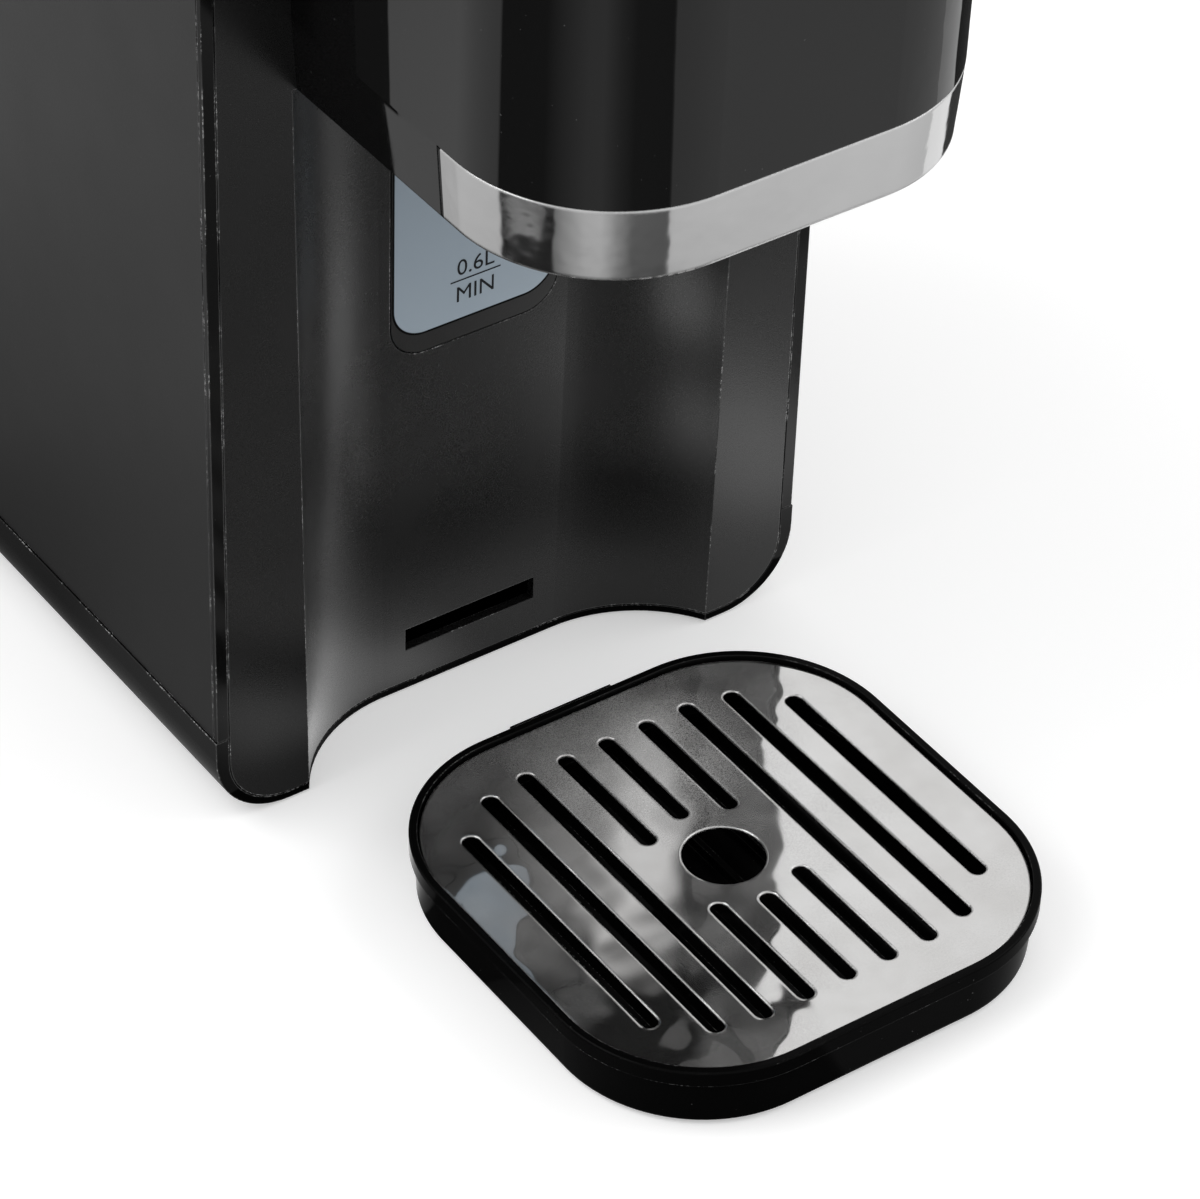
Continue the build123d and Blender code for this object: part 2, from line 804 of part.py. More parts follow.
def dock_port():
    outer = spout_radius + dock_wall
    port = rod_z(valve_x, valve_y, dock_bottom, shelf_top, outer)
    port += rod_z(valve_x, valve_y, shelf_bottom - dock_flange_thickness, shelf_bottom, outer + dock_flange)
    port += rod_x(valve_x - outer - barb_length, valve_x - outer / 2, valve_y, dock_barb_z, barb_radius)
    port -= rod_z(valve_x, valve_y, dock_floor, shelf_top + overrun, spout_radius + dock_socket_fit)
    seal_z = shelf_top - dock_seal_depth
    port -= rod_z(valve_x, valve_y, seal_z - dock_seal_wire, seal_z + dock_seal_wire, dock_seal_outer())
    port -= rod_x(valve_x - outer - barb_length - overrun, valve_x, valve_y, dock_barb_z, barb_bore_radius)
    drain_x = valve_x - 2 * dock_pin_radius - barb_bore_radius
    return port - rod_z(drain_x, valve_y, dock_barb_z, shelf_top, barb_bore_radius)


def dock_seal_outer():
    return spout_radius + dock_seal_fit + 2 * dock_seal_wire


def dock_seal():
    ring = Torus(dock_seal_outer() - dock_seal_wire, dock_seal_wire)
    return Pos(valve_x, valve_y, shelf_top - dock_seal_depth) * ring


def dock_pin():
    return rod_z(valve_x, valve_y, dock_floor, valve_foot_z - dock_pin_gap, dock_pin_radius)


def tank_shell():
    shell = tank_outline(0, tank_bottom, tank_top)
    shell -= tank_outline(-tank_wall, tank_floor_z, tank_top + overrun)
    shell += rod_z(valve_x, valve_y, spout_end, tank_floor_z, spout_radius)
    bore = spout_radius - spout_wall
    return shell - rod_z(valve_x, valve_y, spout_end - overrun, tank_floor_z + overrun, bore)


def ear_x():
    return ear_place, ear_place + ear_width


def tank_rim():
    rim = tank_outline(0, tank_top, rim_top) - tank_outline(-rim_inset, tank_top - overrun, rim_top + overrun)
    rim -= rod_x(-half_width, half_width, hinge_y, hinge_z, lid_barrel_radius + lid_edge_gap)
    low = hinge_z - lid_barrel_radius
    rim -= block(-half_width, half_width, hinge_y, tank_back_y + overrun, low, lid_top)
    x0, x1 = ear_x()
    ear = rod_x(x0, x1, hinge_y, hinge_z, lid_barrel_radius)
    ear += block(x0, x1, hinge_y - lid_barrel_radius, hinge_y + lid_barrel_radius, tank_top, hinge_z)
    rim += both_sides(ear)
    return rim - rod_x(-half_width, half_width, hinge_y, hinge_z, lid_pin_radius)


def lid_hinge_pins():
    x0, x1 = ear_x()
    pin = rod_x(x0 - lid_pin_grip, x1, hinge_y, hinge_z, lid_pin_radius)
    return [pin, mirror(pin, Plane.YZ)]


def tank_lid():
    low = hinge_z - rest_gap
    lid = tank_outline(-lid_edge_gap, low, lid_top)
    lid -= block(-half_width, half_width, hinge_y, tank_back_y + overrun, low, lid_top + overrun)
    inside = -lid_edge_gap - lid_skirt_wall
    hollow = tank_outline(inside, low - overrun, lid_top - lid_thickness)
    back = hinge_y - lid_barrel_radius - lid_skirt_wall
    lid -= hollow & block(-half_width, half_width, tank_front_y, back, low - overrun, lid_top)
    half = tank_width / 2 - tank_radius
    lid += rod_x(-half, half, hinge_y, hinge_z, lid_barrel_radius)
    over = lid_top + overrun
    start = hinge_y - lid_barrel_radius - lid_corner_gap
    corner = block(half, half_width, start, tank_back_y, low - overrun, over)
    x0, x1 = ear_x()
    reach = lid_barrel_radius + lid_edge_gap
    gap = block(x0 - ear_gap, x1 + ear_gap, hinge_y - reach, tank_back_y, hinge_z - reach, over)
    lid -= both_sides(corner + gap)
    lid -= rod_x(-half_width, half_width, hinge_y, hinge_z, lid_pin_radius + lid_pin_fit)
    notch_end = tank_front_y + notch_depth
    return lid - block(-notch_half_width, notch_half_width, tank_front_y, notch_end, low, lid_top)


def valve_cage():
    outer = spout_radius - spout_wall
    z0 = cage_top - cage_height
    cage = rod_z(valve_x, valve_y, z0, cage_top, outer)
    cage -= rod_z(valve_x, valve_y, z0 - overrun, cage_top + overrun, outer - cage_wall)
    for turn in (0, quarter_turn):
        spoke = Box(2 * outer - cage_wall, cage_spoke_width, cage_spoke_thickness)
        cage += Pos(valve_x, valve_y, (spider_bottom + cage_top) / 2) * Rot(0, 0, turn) * spoke
    cage += rod_z(valve_x, valve_y, spider_bottom, cage_top, cage_hub_radius)
    return cage - rod_z(valve_x, valve_y, z0, cage_top + overrun, valve_stem_radius + valve_guide_fit)


def valve_stem():
    stem = rod_z(valve_x, valve_y, valve_foot_z, valve_disc_z + valve_disc_thickness, valve_stem_radius)
    stem += rod_z(valve_x, valve_y, valve_disc_z, valve_disc_z + valve_disc_thickness, valve_disc_radius)
    return stem + rod_z(valve_x, valve_y, valve_foot_z, valve_foot_top, valve_foot_radius)


def valve_seal():
    ring = rod_z(valve_x, valve_y, valve_seal_z, valve_disc_z, valve_disc_radius)
    return ring - rod_z(valve_x, valve_y, valve_seal_z - overrun, valve_disc_z + overrun, valve_stem_radius)


def valve_spring():
    low = valve_foot_top + spring_wire
    height = spider_bottom - spring_wire - low
    centre = (valve_x, valve_y, low)
    path = Helix(pitch=height / spring_turns, height=height, radius=spring_radius, center=centre)
    section = Plane(origin=path @ 0, z_dir=path % 0) * Circle(spring_wire)
    return sweep(section, path=path, is_frenet=True)


def tank_filter():
    top = tank_floor_z + filter_height
    cup = rod_z(valve_x, valve_y, tank_floor_z, top, filter_radius)
    cup -= rod_z(valve_x, valve_y, tank_floor_z - overrun, top - filter_wall, filter_radius - filter_wall)
    for spot in PolarLocations(filter_hole_ring, filter_hole_count):
        hole = Cylinder(filter_hole_radius, 2 * filter_height)
        cup -= Pos(valve_x, valve_y, top) * (spot * hole)
    return cup


def flow_meter():
    x0, x1 = meter_x - meter_width / 2, meter_x + meter_width / 2
    y1 = meter_front + meter_length
    z0, z1 = pump_z - meter_width / 2, pump_z + meter_width / 2
    body = block(x0, x1, meter_front, y1, z0, z1)
    body += rod_z(meter_x, (meter_front + y1) / 2, z1, z1 + casing_wall, meter_width / 2 - casing_wall)
    start, end = meter_front - barb_length, y1 + barb_length
    body += rod_y(meter_x, start, end, pump_z, barb_radius)
    return body - rod_y(meter_x, start - overrun, end + overrun, pump_z, barb_bore_radius)


def pump_head():
    half = pump_head_size / 2
    y1 = pump_front + pump_head_length
    outline = Pos(pump_x, pump_z) * RectangleRounded(2 * half, 2 * half, casing_wall)
    head = along_y(outline, pump_front, y1)
    start = pump_front - barb_length
    for side in (-1, 1):
        x = pump_x + side * pump_port_spacing
        head += rod_y(x, start, pump_front + overrun, pump_z, barb_radius)
        head -= rod_y(x, start - overrun, (pump_front + y1) / 2, pump_z, barb_bore_radius)
    return head


def pump_motor():
    y0 = pump_front + pump_head_length
    can = rod_y(pump_x, y0, y0 + pump_motor_length, pump_z, pump_motor_radius)
    return can + rod_y(pump_x, pump_back, pump_back + casing_wall, pump_z, pump_motor_radius / 2)


def pump_mount():
    x0, x1 = pump_x - pump_mount_half_width, pump_x + pump_mount_half_width
    start, end = pump_front + pump_mount_margin, pump_back - pump_mount_margin
    base = block(x0, x1, start, end, floor_top, pump_mount_height)
    half = pump_head_size / 2
    y1 = pump_front + pump_head_length
    base -= block(pump_x - half, pump_x + half, pump_front, y1, pump_z - half, pump_z)
    return base - rod_y(pump_x, y1, pump_back, pump_z, pump_motor_radius)


def heater_tube():
    tube = rod_y(heater_x, heater_front, heater_back, heater_z, heater_radius)
    start, end = heater_front - overrun, heater_back + overrun
    return tube - rod_y(heater_x, start, end, heater_z, heater_radius - casing_wall)


def heater_end_caps():
    front = rod_y(heater_x, heater_front - heater_cap_length, heater_front, heater_z, heater_cap_radius)
    y = heater_front - heater_cap_length
    front += rod_y(heater_x, y - barb_length, y, heater_z, barb_radius)
    front -= rod_y(heater_x, y - barb_length - overrun, heater_front + overrun, heater_z, barb_bore_radius)
    rear = rod_y(heater_x, heater_back, heater_back + heater_cap_length, heater_z, heater_cap_radius)
    mid = heater_back + heater_cap_length / 2
    x = heater_x - heater_cap_radius
    rear += rod_x(x - barb_length, x + casing_wall, mid, heater_z, barb_radius)
    rear -= rod_x(x - barb_length - overrun, heater_x, mid, heater_z, barb_bore_radius)
    return [front, rear]


def heater_bracket():
    x0, x1 = heater_x - heater_saddle_half_width, heater_x + heater_saddle_half_width
    y0 = heater_front + heater_saddle_inset
    y1 = heater_back - heater_saddle_inset
    floor = block(x0, x1, y0, y1, floor_top, floor_top + heater_base_thickness)
    for y in (y0, y1 - heater_saddle_thickness):
        floor += block(x0, x1, y, y + heater_saddle_thickness, floor_top, heater_saddle_rise)
    half = heater_saddle_half_width - heater_saddle_thickness
    gap = 2 * heater_saddle_thickness
    high = floor_top + 2 * heater_base_thickness
    vents = block(heater_x - half, heater_x + half, y0 + gap, y1 - gap, 0, high)
    return floor - vents - rod_y(heater_x, y0 - overrun, y1 + overrun, heater_z, heater_radius)


def thermal_cutout():
    y = (heater_front + heater_back) / 2
    top = heater_z + heater_radius + cutout_height
    body = rod_z(heater_x, y, heater_z, top, cutout_radius)
    body += block(
        heater_x - cutout_radius / 2, heater_x + cutout_radius / 2,
        y - overrun, y + overrun, top, top + casing_wall,
    )
    return body - rod_y(heater_x, heater_front, heater_back, heater_z, heater_radius)


def temperature_sensor():
    y = heater_front - heater_cap_length / 2
    top = heater_z + heater_cap_radius + sensor_height
    probe = rod_z(heater_x, y, heater_z, top, sensor_radius)
    return probe - rod_y(heater_x, y - heater_cap_length, y + heater_cap_length, heater_z, heater_cap_radius)


def inlet_hose():
    start = valve_x - spout_radius - dock_wall
    points = [(start, valve_y, dock_barb_z), (meter_x, valve_y, dock_barb_z)]
    points += [(meter_x, valve_y, pump_z), (meter_x, meter_front + meter_length, pump_z)]
    return hose(points, [small_bend, large_bend], hose_radius, barb_radius)


def pump_inlet_hose():
    port = pump_x - pump_port_spacing
    points = [(meter_x, meter_front, pump_z), (meter_x, hose_turn_front, pump_z)]
    points += [(port, hose_turn_front, pump_z), (port, pump_front, pump_z)]
    return hose(points, [small_bend, small_bend], hose_radius, barb_radius)


def pump_outlet_hose():
    port = pump_x + pump_port_spacing
    end_y = heater_back + heater_cap_length / 2
    points = [(port, pump_front, pump_z), (port, hose_turn_front, pump_z)]
    points += [(hose_lane_x, hose_turn_front, pump_z), (hose_lane_x, end_y, heater_z)]
    points.append((heater_x - heater_cap_radius, end_y, heater_z))
    room = min((hose_lane_x - port) / 2, heater_x - heater_cap_radius - hose_lane_x)
    turn = min(small_bend, room - seam_gap)
    return hose(points, [turn, turn, turn], hose_radius, barb_radius)


def hot_water_hose():
    start = heater_front - heater_cap_length
    end = docked_y + separator_radius
    points = [(heater_x, start, heater_z), (heater_x, duct_y + large_bend, heater_z)]
    points += [(duct_x, duct_y, duct_low), (duct_x, duct_y, inlet_z), (0, duct_y, inlet_z)]
    points.append((0, end, inlet_z))
    return hose(points, [small_bend, large_bend, large_bend, large_bend], hose_radius, barb_radius)


def power_board():
    x0 = power_board_x - board_thickness / 2
    x1 = x0 + board_thickness
    return block(x0, x1, power_board_front, power_board_back, power_board_low, power_board_high)


def board_face():
    return power_board_x + board_thickness / 2


def board_relay():
    y = power_board_front + casing_wall
    z = power_board_high - relay_height - casing_wall
    return block(board_face(), board_face() + relay_depth, y, y + relay_length, z, z + relay_height)


def board_heatsink():
    y0 = power_board_front + relay_length + 2 * casing_wall
    z0 = power_board_high - sink_height - casing_wall
    sink = block(board_face(), board_face() + sink_base, y0, y0 + sink_length, z0, z0 + sink_height)
    pitch = (sink_length - sink_fin_thickness) / (sink_fins - 1)
    for i in range(sink_fins):
        y = y0 + pitch * i
        tip = board_face() + sink_depth
        sink += block(board_face(), tip, y, y + sink_fin_thickness, z0, z0 + sink_height)
    return sink


def terminal_block():
    y1 = power_board_back - casing_wall
    z0 = gland_z - terminal_height / 2
    x0, x1 = board_face(), board_face() + terminal_depth
    body = block(x0, x1, y1 - terminal_length, y1, z0, z0 + terminal_height)
    for i in range(terminal_ways):
        y = y1 - terminal_length * (i + 1 / 2) / terminal_ways
        body -= rod_z((x0 + x1) / 2, y, gland_z, gland_z + terminal_height, screw_radius)
    return body


def mains_lead():
    end_x = board_face() + terminal_depth / 2
    end_y = power_board_back - casing_wall
    points = [(gland_x, back_y - gland_length, gland_z), (gland_x, end_y + 2 * wire_bend, gland_z)]
    points += [(end_x, end_y + wire_bend + wire_radius, gland_z), (end_x, end_y, gland_z)]
    return hose(points, [wire_bend, wire_bend], lead_radius, 0)


def heater_leads():
    leads = []
    tube_top = heater_z + heater_radius
    lane = tube_top + 2 * wire_bend
    y_mid = (heater_front + heater_back) / 2
    y_board = power_board_back - terminal_length - 2 * casing_wall
    for side in (-1, 1):
        y_end = y_mid + side * (cutout_radius + casing_wall + wire_radius)
        y_start = y_board + 2 * side * wire_radius
        x_turn = board_face() + 2 * wire_bend
        points = [(board_face(), y_start, lane), (x_turn, y_start, lane)]
        points += [(heater_x, y_end, lane), (heater_x, y_end, tube_top)]
        leads.append(hose(points, [wire_bend, wire_bend], wire_radius, 0))
    return leads


def control_cable():
    z = power_board_high - relay_height - 4 * casing_wall
    x0 = board_face()
    y0 = power_board_front + 2 * cable_radius
    turn_x = x0 + 2 * small_bend
    points = [(x0, y0, z), (turn_x, y0, z), (turn_x, duct_y + large_bend, z)]
    points.append((-duct_x, duct_y, z + small_bend))
    reach = control_board_back_margin + 2 * cable_radius
    under = roof_wall + control_post + board_thickness + cable_radius
    top = body_height - reach * roof_slope_share - under
    end_x = -control_board_half_width / 2
    points += [(-duct_x, duct_y, top), (end_x, duct_y, top), (end_x, front_y - reach, top)]
    return hose(points, [small_bend] * 5, cable_radius, 0)


def tray_form(inset, z0):
    """The tray's wall: it narrows towards the counter."""

    def section(z, tuck):
        cut = tray_rim_overhang + tuck + inset
        side = tray_size - 2 * cut
        return Pos(0, tray_y, z) * RectangleRounded(side, side, tray_radius - cut)

    return loft([section(z0, tray_draft), section(rim_low, 0)], ruled=True)


def square_tile(half, z0, z1):
    """A rounded square round the tray's middle, parallel to the tray's rim."""
    return slab(2 * half, 2 * half, tray_radius - (tray_size / 2 - half), z0, z1, 0, tray_y)


def drip_tray():
    half = tray_size / 2
    cup = tray_form(0, tray_lift)
    cup = fillet(cup.faces().sort_by(Axis.Z)[0].edges(), tray_foot_round)
    floor = tray_lift + tray_floor
    cavity = tray_form(tray_wall, floor)
    cup += square_tile(half, rim_low, tray_height)
    cup = fillet(cup.faces().sort_by(Axis.Z)[-1].outer_wire().edges(), plate_edge_round)
    cup -= cavity + square_tile(half - tray_rim_overhang - tray_wall, rim_low - overrun, plate_bottom)
    cup -= square_tile(plate_half + plate_fit, plate_bottom, tray_height + overrun)
    ribs = square_tile(half - tray_rib_margin, floor - tray_floor / 2, floor + tray_rib_height)
    for i in range(-tray_rib_pairs, tray_rib_pairs):
        x = slot_pitch * i + slot_pitch / 2 - tray_rib_thickness / 2
        cup += ribs & block(x, x + tray_rib_thickness, tray_y - half, tray_y + half, 0, tray_height)
    low = hook_slot_low + hook_fit
    end = tray_y + half + hook_reach
    hook = block(-hook_half_width, hook_half_width, tray_y, end, low, low + hook_thickness)
    cup += hook - square_tile(plate_half + plate_fit, 0, tray_height)
    for x, y in tray_pad_places():
        cup -= rod_z(x, y, 0, tray_pad_height, tray_pad_radius)
    return cup


def tray_pad_places():
    reach = tray_size / 2 - tray_pad_inset
    return [(x, tray_y + y) for x in (-reach, reach) for y in (-reach, reach)]


def tray_feet():
    return [rod_z(x, y, 0, tray_pad_height, tray_pad_radius) for x, y in tray_pad_places()]


def slot(x, y0, y1):
    """A straight slot with round ends through the plate, between two round centres."""
    outline = SlotCenterToCenter(y1 - y0, slot_width, rotation=quarter_turn)
    return Pos(x, tray_y + (y0 + y1) / 2, plate_bottom) * extrude(outline, plate_skirt + overrun)


def drip_plate():
    plate = square_tile(plate_half, plate_bottom, plate_top)
    plate = fillet(plate.faces().sort_by(Axis.Z)[-1].edges(), plate_edge_round)
    plate -= square_tile(plate_half - plate_thickness, plate_bottom - overrun, plate_top - plate_thickness)
    for i, share in enumerate(slot_outer_shares):
        reach = share * plate_half
        for x in sorted({-i * slot_pitch, i * slot_pitch}):
            if i < len(slot_inner_shares):
                near = slot_inner_shares[i] * plate_half
                plate -= slot(x, near, reach)
                plate -= slot(x, -reach, -near)
            else:
                plate -= slot(x, -reach, reach)
    return plate - rod_z(0, tray_y, plate_bottom, plate_top + overrun, finger_hole_radius)


def write(name, shape):
    """Write one node; a list becomes a group of separate solids."""
    if isinstance(shape, (list, tuple)):
        shape = Compound(children=list(shape))
    export_step(shape, f"parts/{name}.step")


def main():
    os.makedirs("parts", exist_ok=True)
    write("base_tub", base_tub())
    write("front_panel", front_panel())
    write("level_window", level_window())
    write("left_side_cover", side_cover(-1))
    write("right_side_cover", side_cover(1))
    write("left_trim_strip", trim_strip(-1))
    write("right_trim_strip", trim_strip(1))
    write("rear_cover", rear_cover())
    write("top_deck", top_deck())
    write("head_shell", head_shell())
    write("chrome_band", chrome_band())
    write("head_underside", head_underside())
    write("outlet_nozzle", outlet_nozzle())
    write("steam_separator", steam_separator())
    write("touch_panel", touch_panel())
    write("control_board", control_board())
    write("rubber_feet", rubber_feet())
    write("base_screws", base_screws())
    write("head_screws", head_screws())
    write("rear_cover_screws", rear_cover_screws())
    write("cable_gland", cable_gland())
    write("tank_shelf", tank_shelf())
    write("dock_port", dock_port())
    write("dock_seal", dock_seal())
    write("dock_pin", dock_pin())
    write("flow_meter", flow_meter())
    write("pump_head", pump_head())
    write("pump_motor", pump_motor())
    write("pump_mount", pump_mount())
    write("heater_tube", heater_tube())
    write("heater_end_caps", heater_end_caps())
    write("heater_bracket", heater_bracket())
    write("thermal_cutout", thermal_cutout())
    write("temperature_sensor", temperature_sensor())
    write("inlet_hose", inlet_hose())
    write("pump_inlet_hose", pump_inlet_hose())
    write("pump_outlet_hose", pump_outlet_hose())
    write("hot_water_hose", hot_water_hose())
    write("power_board", power_board())
    write("board_relay", board_relay())
    write("board_heatsink", board_heatsink())
    write("terminal_block", terminal_block())
    write("mains_lead", mains_lead())
    write("heater_leads", heater_leads())
    write("control_cable", control_cable())
    write("tank_shell", tank_shell())
    write("tank_rim", tank_rim())
    write("valve_cage", valve_cage())
    write("tank_filter", tank_filter())
    write("valve_spring", valve_spring())
    write("lid_hinge_pins", lid_hinge_pins())
    write("valve_stem", valve_stem())
    write("valve_seal", valve_seal())
    write("tank_lid", tank_lid())
    write("drip_tray", drip_tray())
    write("tray_feet", tray_feet())
    write("drip_plate", drip_plate())


main()
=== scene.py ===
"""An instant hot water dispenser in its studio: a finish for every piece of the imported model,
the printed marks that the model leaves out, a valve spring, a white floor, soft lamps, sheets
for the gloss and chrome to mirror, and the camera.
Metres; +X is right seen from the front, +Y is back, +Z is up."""
import json
import math

import bpy
import numpy as np
from mathutils import Matrix, Vector


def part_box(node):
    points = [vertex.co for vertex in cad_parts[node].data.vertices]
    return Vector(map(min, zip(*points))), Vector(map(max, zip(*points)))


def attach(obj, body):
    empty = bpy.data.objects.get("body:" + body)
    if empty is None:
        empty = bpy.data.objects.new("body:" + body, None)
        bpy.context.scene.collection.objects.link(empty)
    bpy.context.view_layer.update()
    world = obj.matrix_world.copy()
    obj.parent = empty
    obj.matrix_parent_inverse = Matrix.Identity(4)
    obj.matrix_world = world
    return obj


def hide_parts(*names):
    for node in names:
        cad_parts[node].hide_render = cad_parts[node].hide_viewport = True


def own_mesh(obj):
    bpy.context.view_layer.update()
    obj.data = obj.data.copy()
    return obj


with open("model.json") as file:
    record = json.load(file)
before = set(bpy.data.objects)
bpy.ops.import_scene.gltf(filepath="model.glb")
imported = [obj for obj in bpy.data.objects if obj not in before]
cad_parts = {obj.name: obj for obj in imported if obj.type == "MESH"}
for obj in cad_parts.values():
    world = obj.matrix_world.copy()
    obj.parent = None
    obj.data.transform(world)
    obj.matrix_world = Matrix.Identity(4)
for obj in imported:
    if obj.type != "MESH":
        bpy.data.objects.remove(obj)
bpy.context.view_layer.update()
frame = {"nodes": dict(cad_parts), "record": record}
mm = 0.001


class Field:
    """A shader socket's value: arithmetic on it adds Math nodes."""

    def __init__(self, finish, socket):
        self.finish = finish
        self.socket = socket

    def maths(self, operation, first, second=0.0):
        return self.finish.node("ShaderNodeMath", {"operation": operation}, {0: first, 1: second})

    def __add__(self, other):
        return self.maths("ADD", self, other)

    def __radd__(self, other):
        return self.maths("ADD", other, self)

    def __sub__(self, other):
        return self.maths("SUBTRACT", self, other)

    def __rsub__(self, other):
        return self.maths("SUBTRACT", other, self)

    def __mul__(self, other):
        return self.maths("MULTIPLY", self, other)

    def __rmul__(self, other):
        return self.maths("MULTIPLY", other, self)

    def __truediv__(self, other):
        return self.maths("DIVIDE", self, other)

    def __abs__(self):
        return self.maths("ABSOLUTE", self)

    def at_least(self, other):
        return self.maths("MAXIMUM", self, other)

    def sine(self):
        return self.maths("SINE", self)

    def root(self):
        return self.maths("SQRT", self)

    def bearing(self, other):
        """The direction, in degrees from 0 to 360, of the point whose x is this and y the other."""
        turn = self.maths("ARCTAN2", other, self) * (180 / math.pi)
        return self.maths("FLOORED_MODULO", turn, 360.0)

    def above(self, level, soft):
        """0 under the level and 1 over it, with a ramp as wide as soft."""
        settings = {"clamp": True, "interpolation_type": "SMOOTHSTEP"}
        inputs = {"Value": self, "From Min": level - soft / 2, "From Max": level + soft / 2}
        return self.finish.node("ShaderNodeMapRange", settings, inputs)


class Finish:
    """A material, or the air round the scene, under making: a method adds each of its nodes."""

    def __init__(self, name, kind=bpy.data.materials):
        self.owner = kind.new(name)
        self.owner.use_nodes = True
        self.tree = self.owner.node_tree
        self.tree.nodes.clear()

    def node(self, kind, settings=None, inputs=None, output=0):
        """Adds a node: its settings first, then the values or links of its sockets."""
        made = self.tree.nodes.new(kind)
        for key, value in (settings or {}).items():
            if key == "stops":
                for place, _ in value[2:]:
                    made.color_ramp.elements.new(place)
                for element, (place, level) in zip(made.color_ramp.elements, value):
                    element.position = place
                    element.color = grey(level)
            else:
                setattr(made, key, value)
        for key, value in (inputs or {}).items():
            if isinstance(value, Field):
                self.tree.links.new(value.socket, made.inputs[key])
            else:
                made.inputs[key].default_value = value
        return Field(self, made.outputs[output]) if made.outputs else None

    def place(self):
        """Where a point of the surface lies, in metres."""
        return self.node("ShaderNodeTexCoord", output="Object")

    def axis(self, name):
        return self.node("ShaderNodeSeparateXYZ", None, {0: self.place()}, name)

    def noise(self, cell, detail=3.0, roughness=0.55, stretch=(1.0, 1.0, 1.0)):
        """Cloudy values about 0.5, with cells of about the size given."""
        where = self.node("ShaderNodeMapping", None, {"Vector": self.place(), "Scale": stretch})
        inputs = {"Vector": where, "Scale": 1.0 / cell, "Detail": detail, "Roughness": roughness}
        return self.node("ShaderNodeTexNoise", None, inputs)

    def mix(self, share, first, second):
        """A colour between two, by a share from 0 to 1."""
        inputs = {"Factor": share, 6: first, 7: second}
        return self.node("ShaderNodeMix", {"data_type": "RGBA"}, inputs, 2)

    def bump(self, height, depth, normal=None):
        inputs = {"Height": height, "Distance": depth}
        if normal is not None:
            inputs["Normal"] = normal
        return self.node("ShaderNodeBump", None, inputs)

    def ramp(self, value, stops):
        """Grey levels along a value, from (place, level) pairs."""
        return self.node("ShaderNodeValToRGB", {"stops": stops}, {"Fac": value})

    def round_edges(self, radius):
        """Normals that turn over a sharp edge as if it had a small radius."""
        return self.node("ShaderNodeBevel", {"samples": 6}, {"Radius": radius})

    def edge(self, radius, level, soft):
        """1 along sharp edges and 0 elsewhere: where the rounded normal leaves the true one."""
        true = self.node("ShaderNodeNewGeometry", output="True Normal")
        settings = {"operation": "DOT_PRODUCT"}
        normals = {0: self.round_edges(radius), 1: true}
        likeness = self.node("ShaderNodeVectorMath", settings, normals, "Value")
        return (1.0 - likeness).above(level, soft)

    def wear_and_edge_sheen(self, wear_and_sheen):
        """Along sharp edges: a painted highlight line that comes and goes, and pale worn specks."""
        line = self.edge(0.45 * mm, 0.03, 0.04)
        cluster = self.noise(14 * mm, 1.0).above(0.52, 0.14)
        speck = self.noise(0.9 * mm, 3.0, 0.7).above(0.55, 0.1) * cluster
        # painted highlight: a faint pale line along every sharp edge, brighter in broad patches
        painted_edge_sheen = self.noise(40 * mm, 1.0).above(0.5, 0.2) * 0.14 + 0.03
        return line * (speck + painted_edge_sheen) * wear_and_sheen

    def seen_directly(self):
        """1 where the camera, a mirroring surface or glass looks, and 0 for light on a surface."""
        rays = ("Is Camera Ray", "Is Glossy Ray", "Is Transmission Ray")
        camera, glossy, through = [self.node("ShaderNodeLightPath", output=ray) for ray in rays]
        return (camera + glossy + through).above(0.5, 0.1)

    def shared(self, share, first, second):
        """A shader between two, by a share from 0 to 1."""
        return self.node("ShaderNodeMixShader", None, {0: share, 1: first, 2: second})

    def shader(self, **inputs):
        """A Principled shader from its inputs, by name."""
        named = {key.replace("_", " "): value for key, value in inputs.items()}
        return self.node("ShaderNodeBsdfPrincipled", None, named)

    def done(self, shader):
        self.node("ShaderNodeOutputMaterial", None, {"Surface": shader})
        return self.owner

    def surface(self, **inputs):
        """The finished material, from the inputs of its one shader."""
        return self.done(self.shader(**inputs))


def grey(level, warm=0.0):
    """An opaque grey, a little warm or, below zero, a little blue."""
    return (level * (1 + warm), level, level * (1 - warm), 1.0)


def moulded_black(name, level, rough, grain, shine=0.5, wear_and_sheen=0.25):
    """Satin moulded plastic: spark-eroded grain, faint cloudiness, dust, pale specks where its
    edges are worn and a painted highlight line along those edges."""
    f = Finish(name)
    cloud = f.noise(28 * mm, 2.0)
    fine = f.noise(0.42 * mm, 2.0)
    dust = f.noise(1.1 * mm, 1.0).above(0.79, 0.04)
    wear_and_edge_sheen = f.wear_and_edge_sheen(wear_and_sheen)
    shade = f.mix(cloud, grey(level * 0.9), grey(level * 1.1))
    dusty = f.mix(dust * 0.5, shade, grey(level * 5))
    normal = f.bump(fine, grain, f.round_edges(0.35 * mm))
    return f.surface(Base_Color=f.mix(wear_and_edge_sheen, dusty, grey(0.5)),
                     Roughness=rough + (cloud - 0.5) * 0.12 + (fine - 0.5) * 0.1,
                     Normal=normal, IOR=1.5, Specular_IOR_Level=shine)


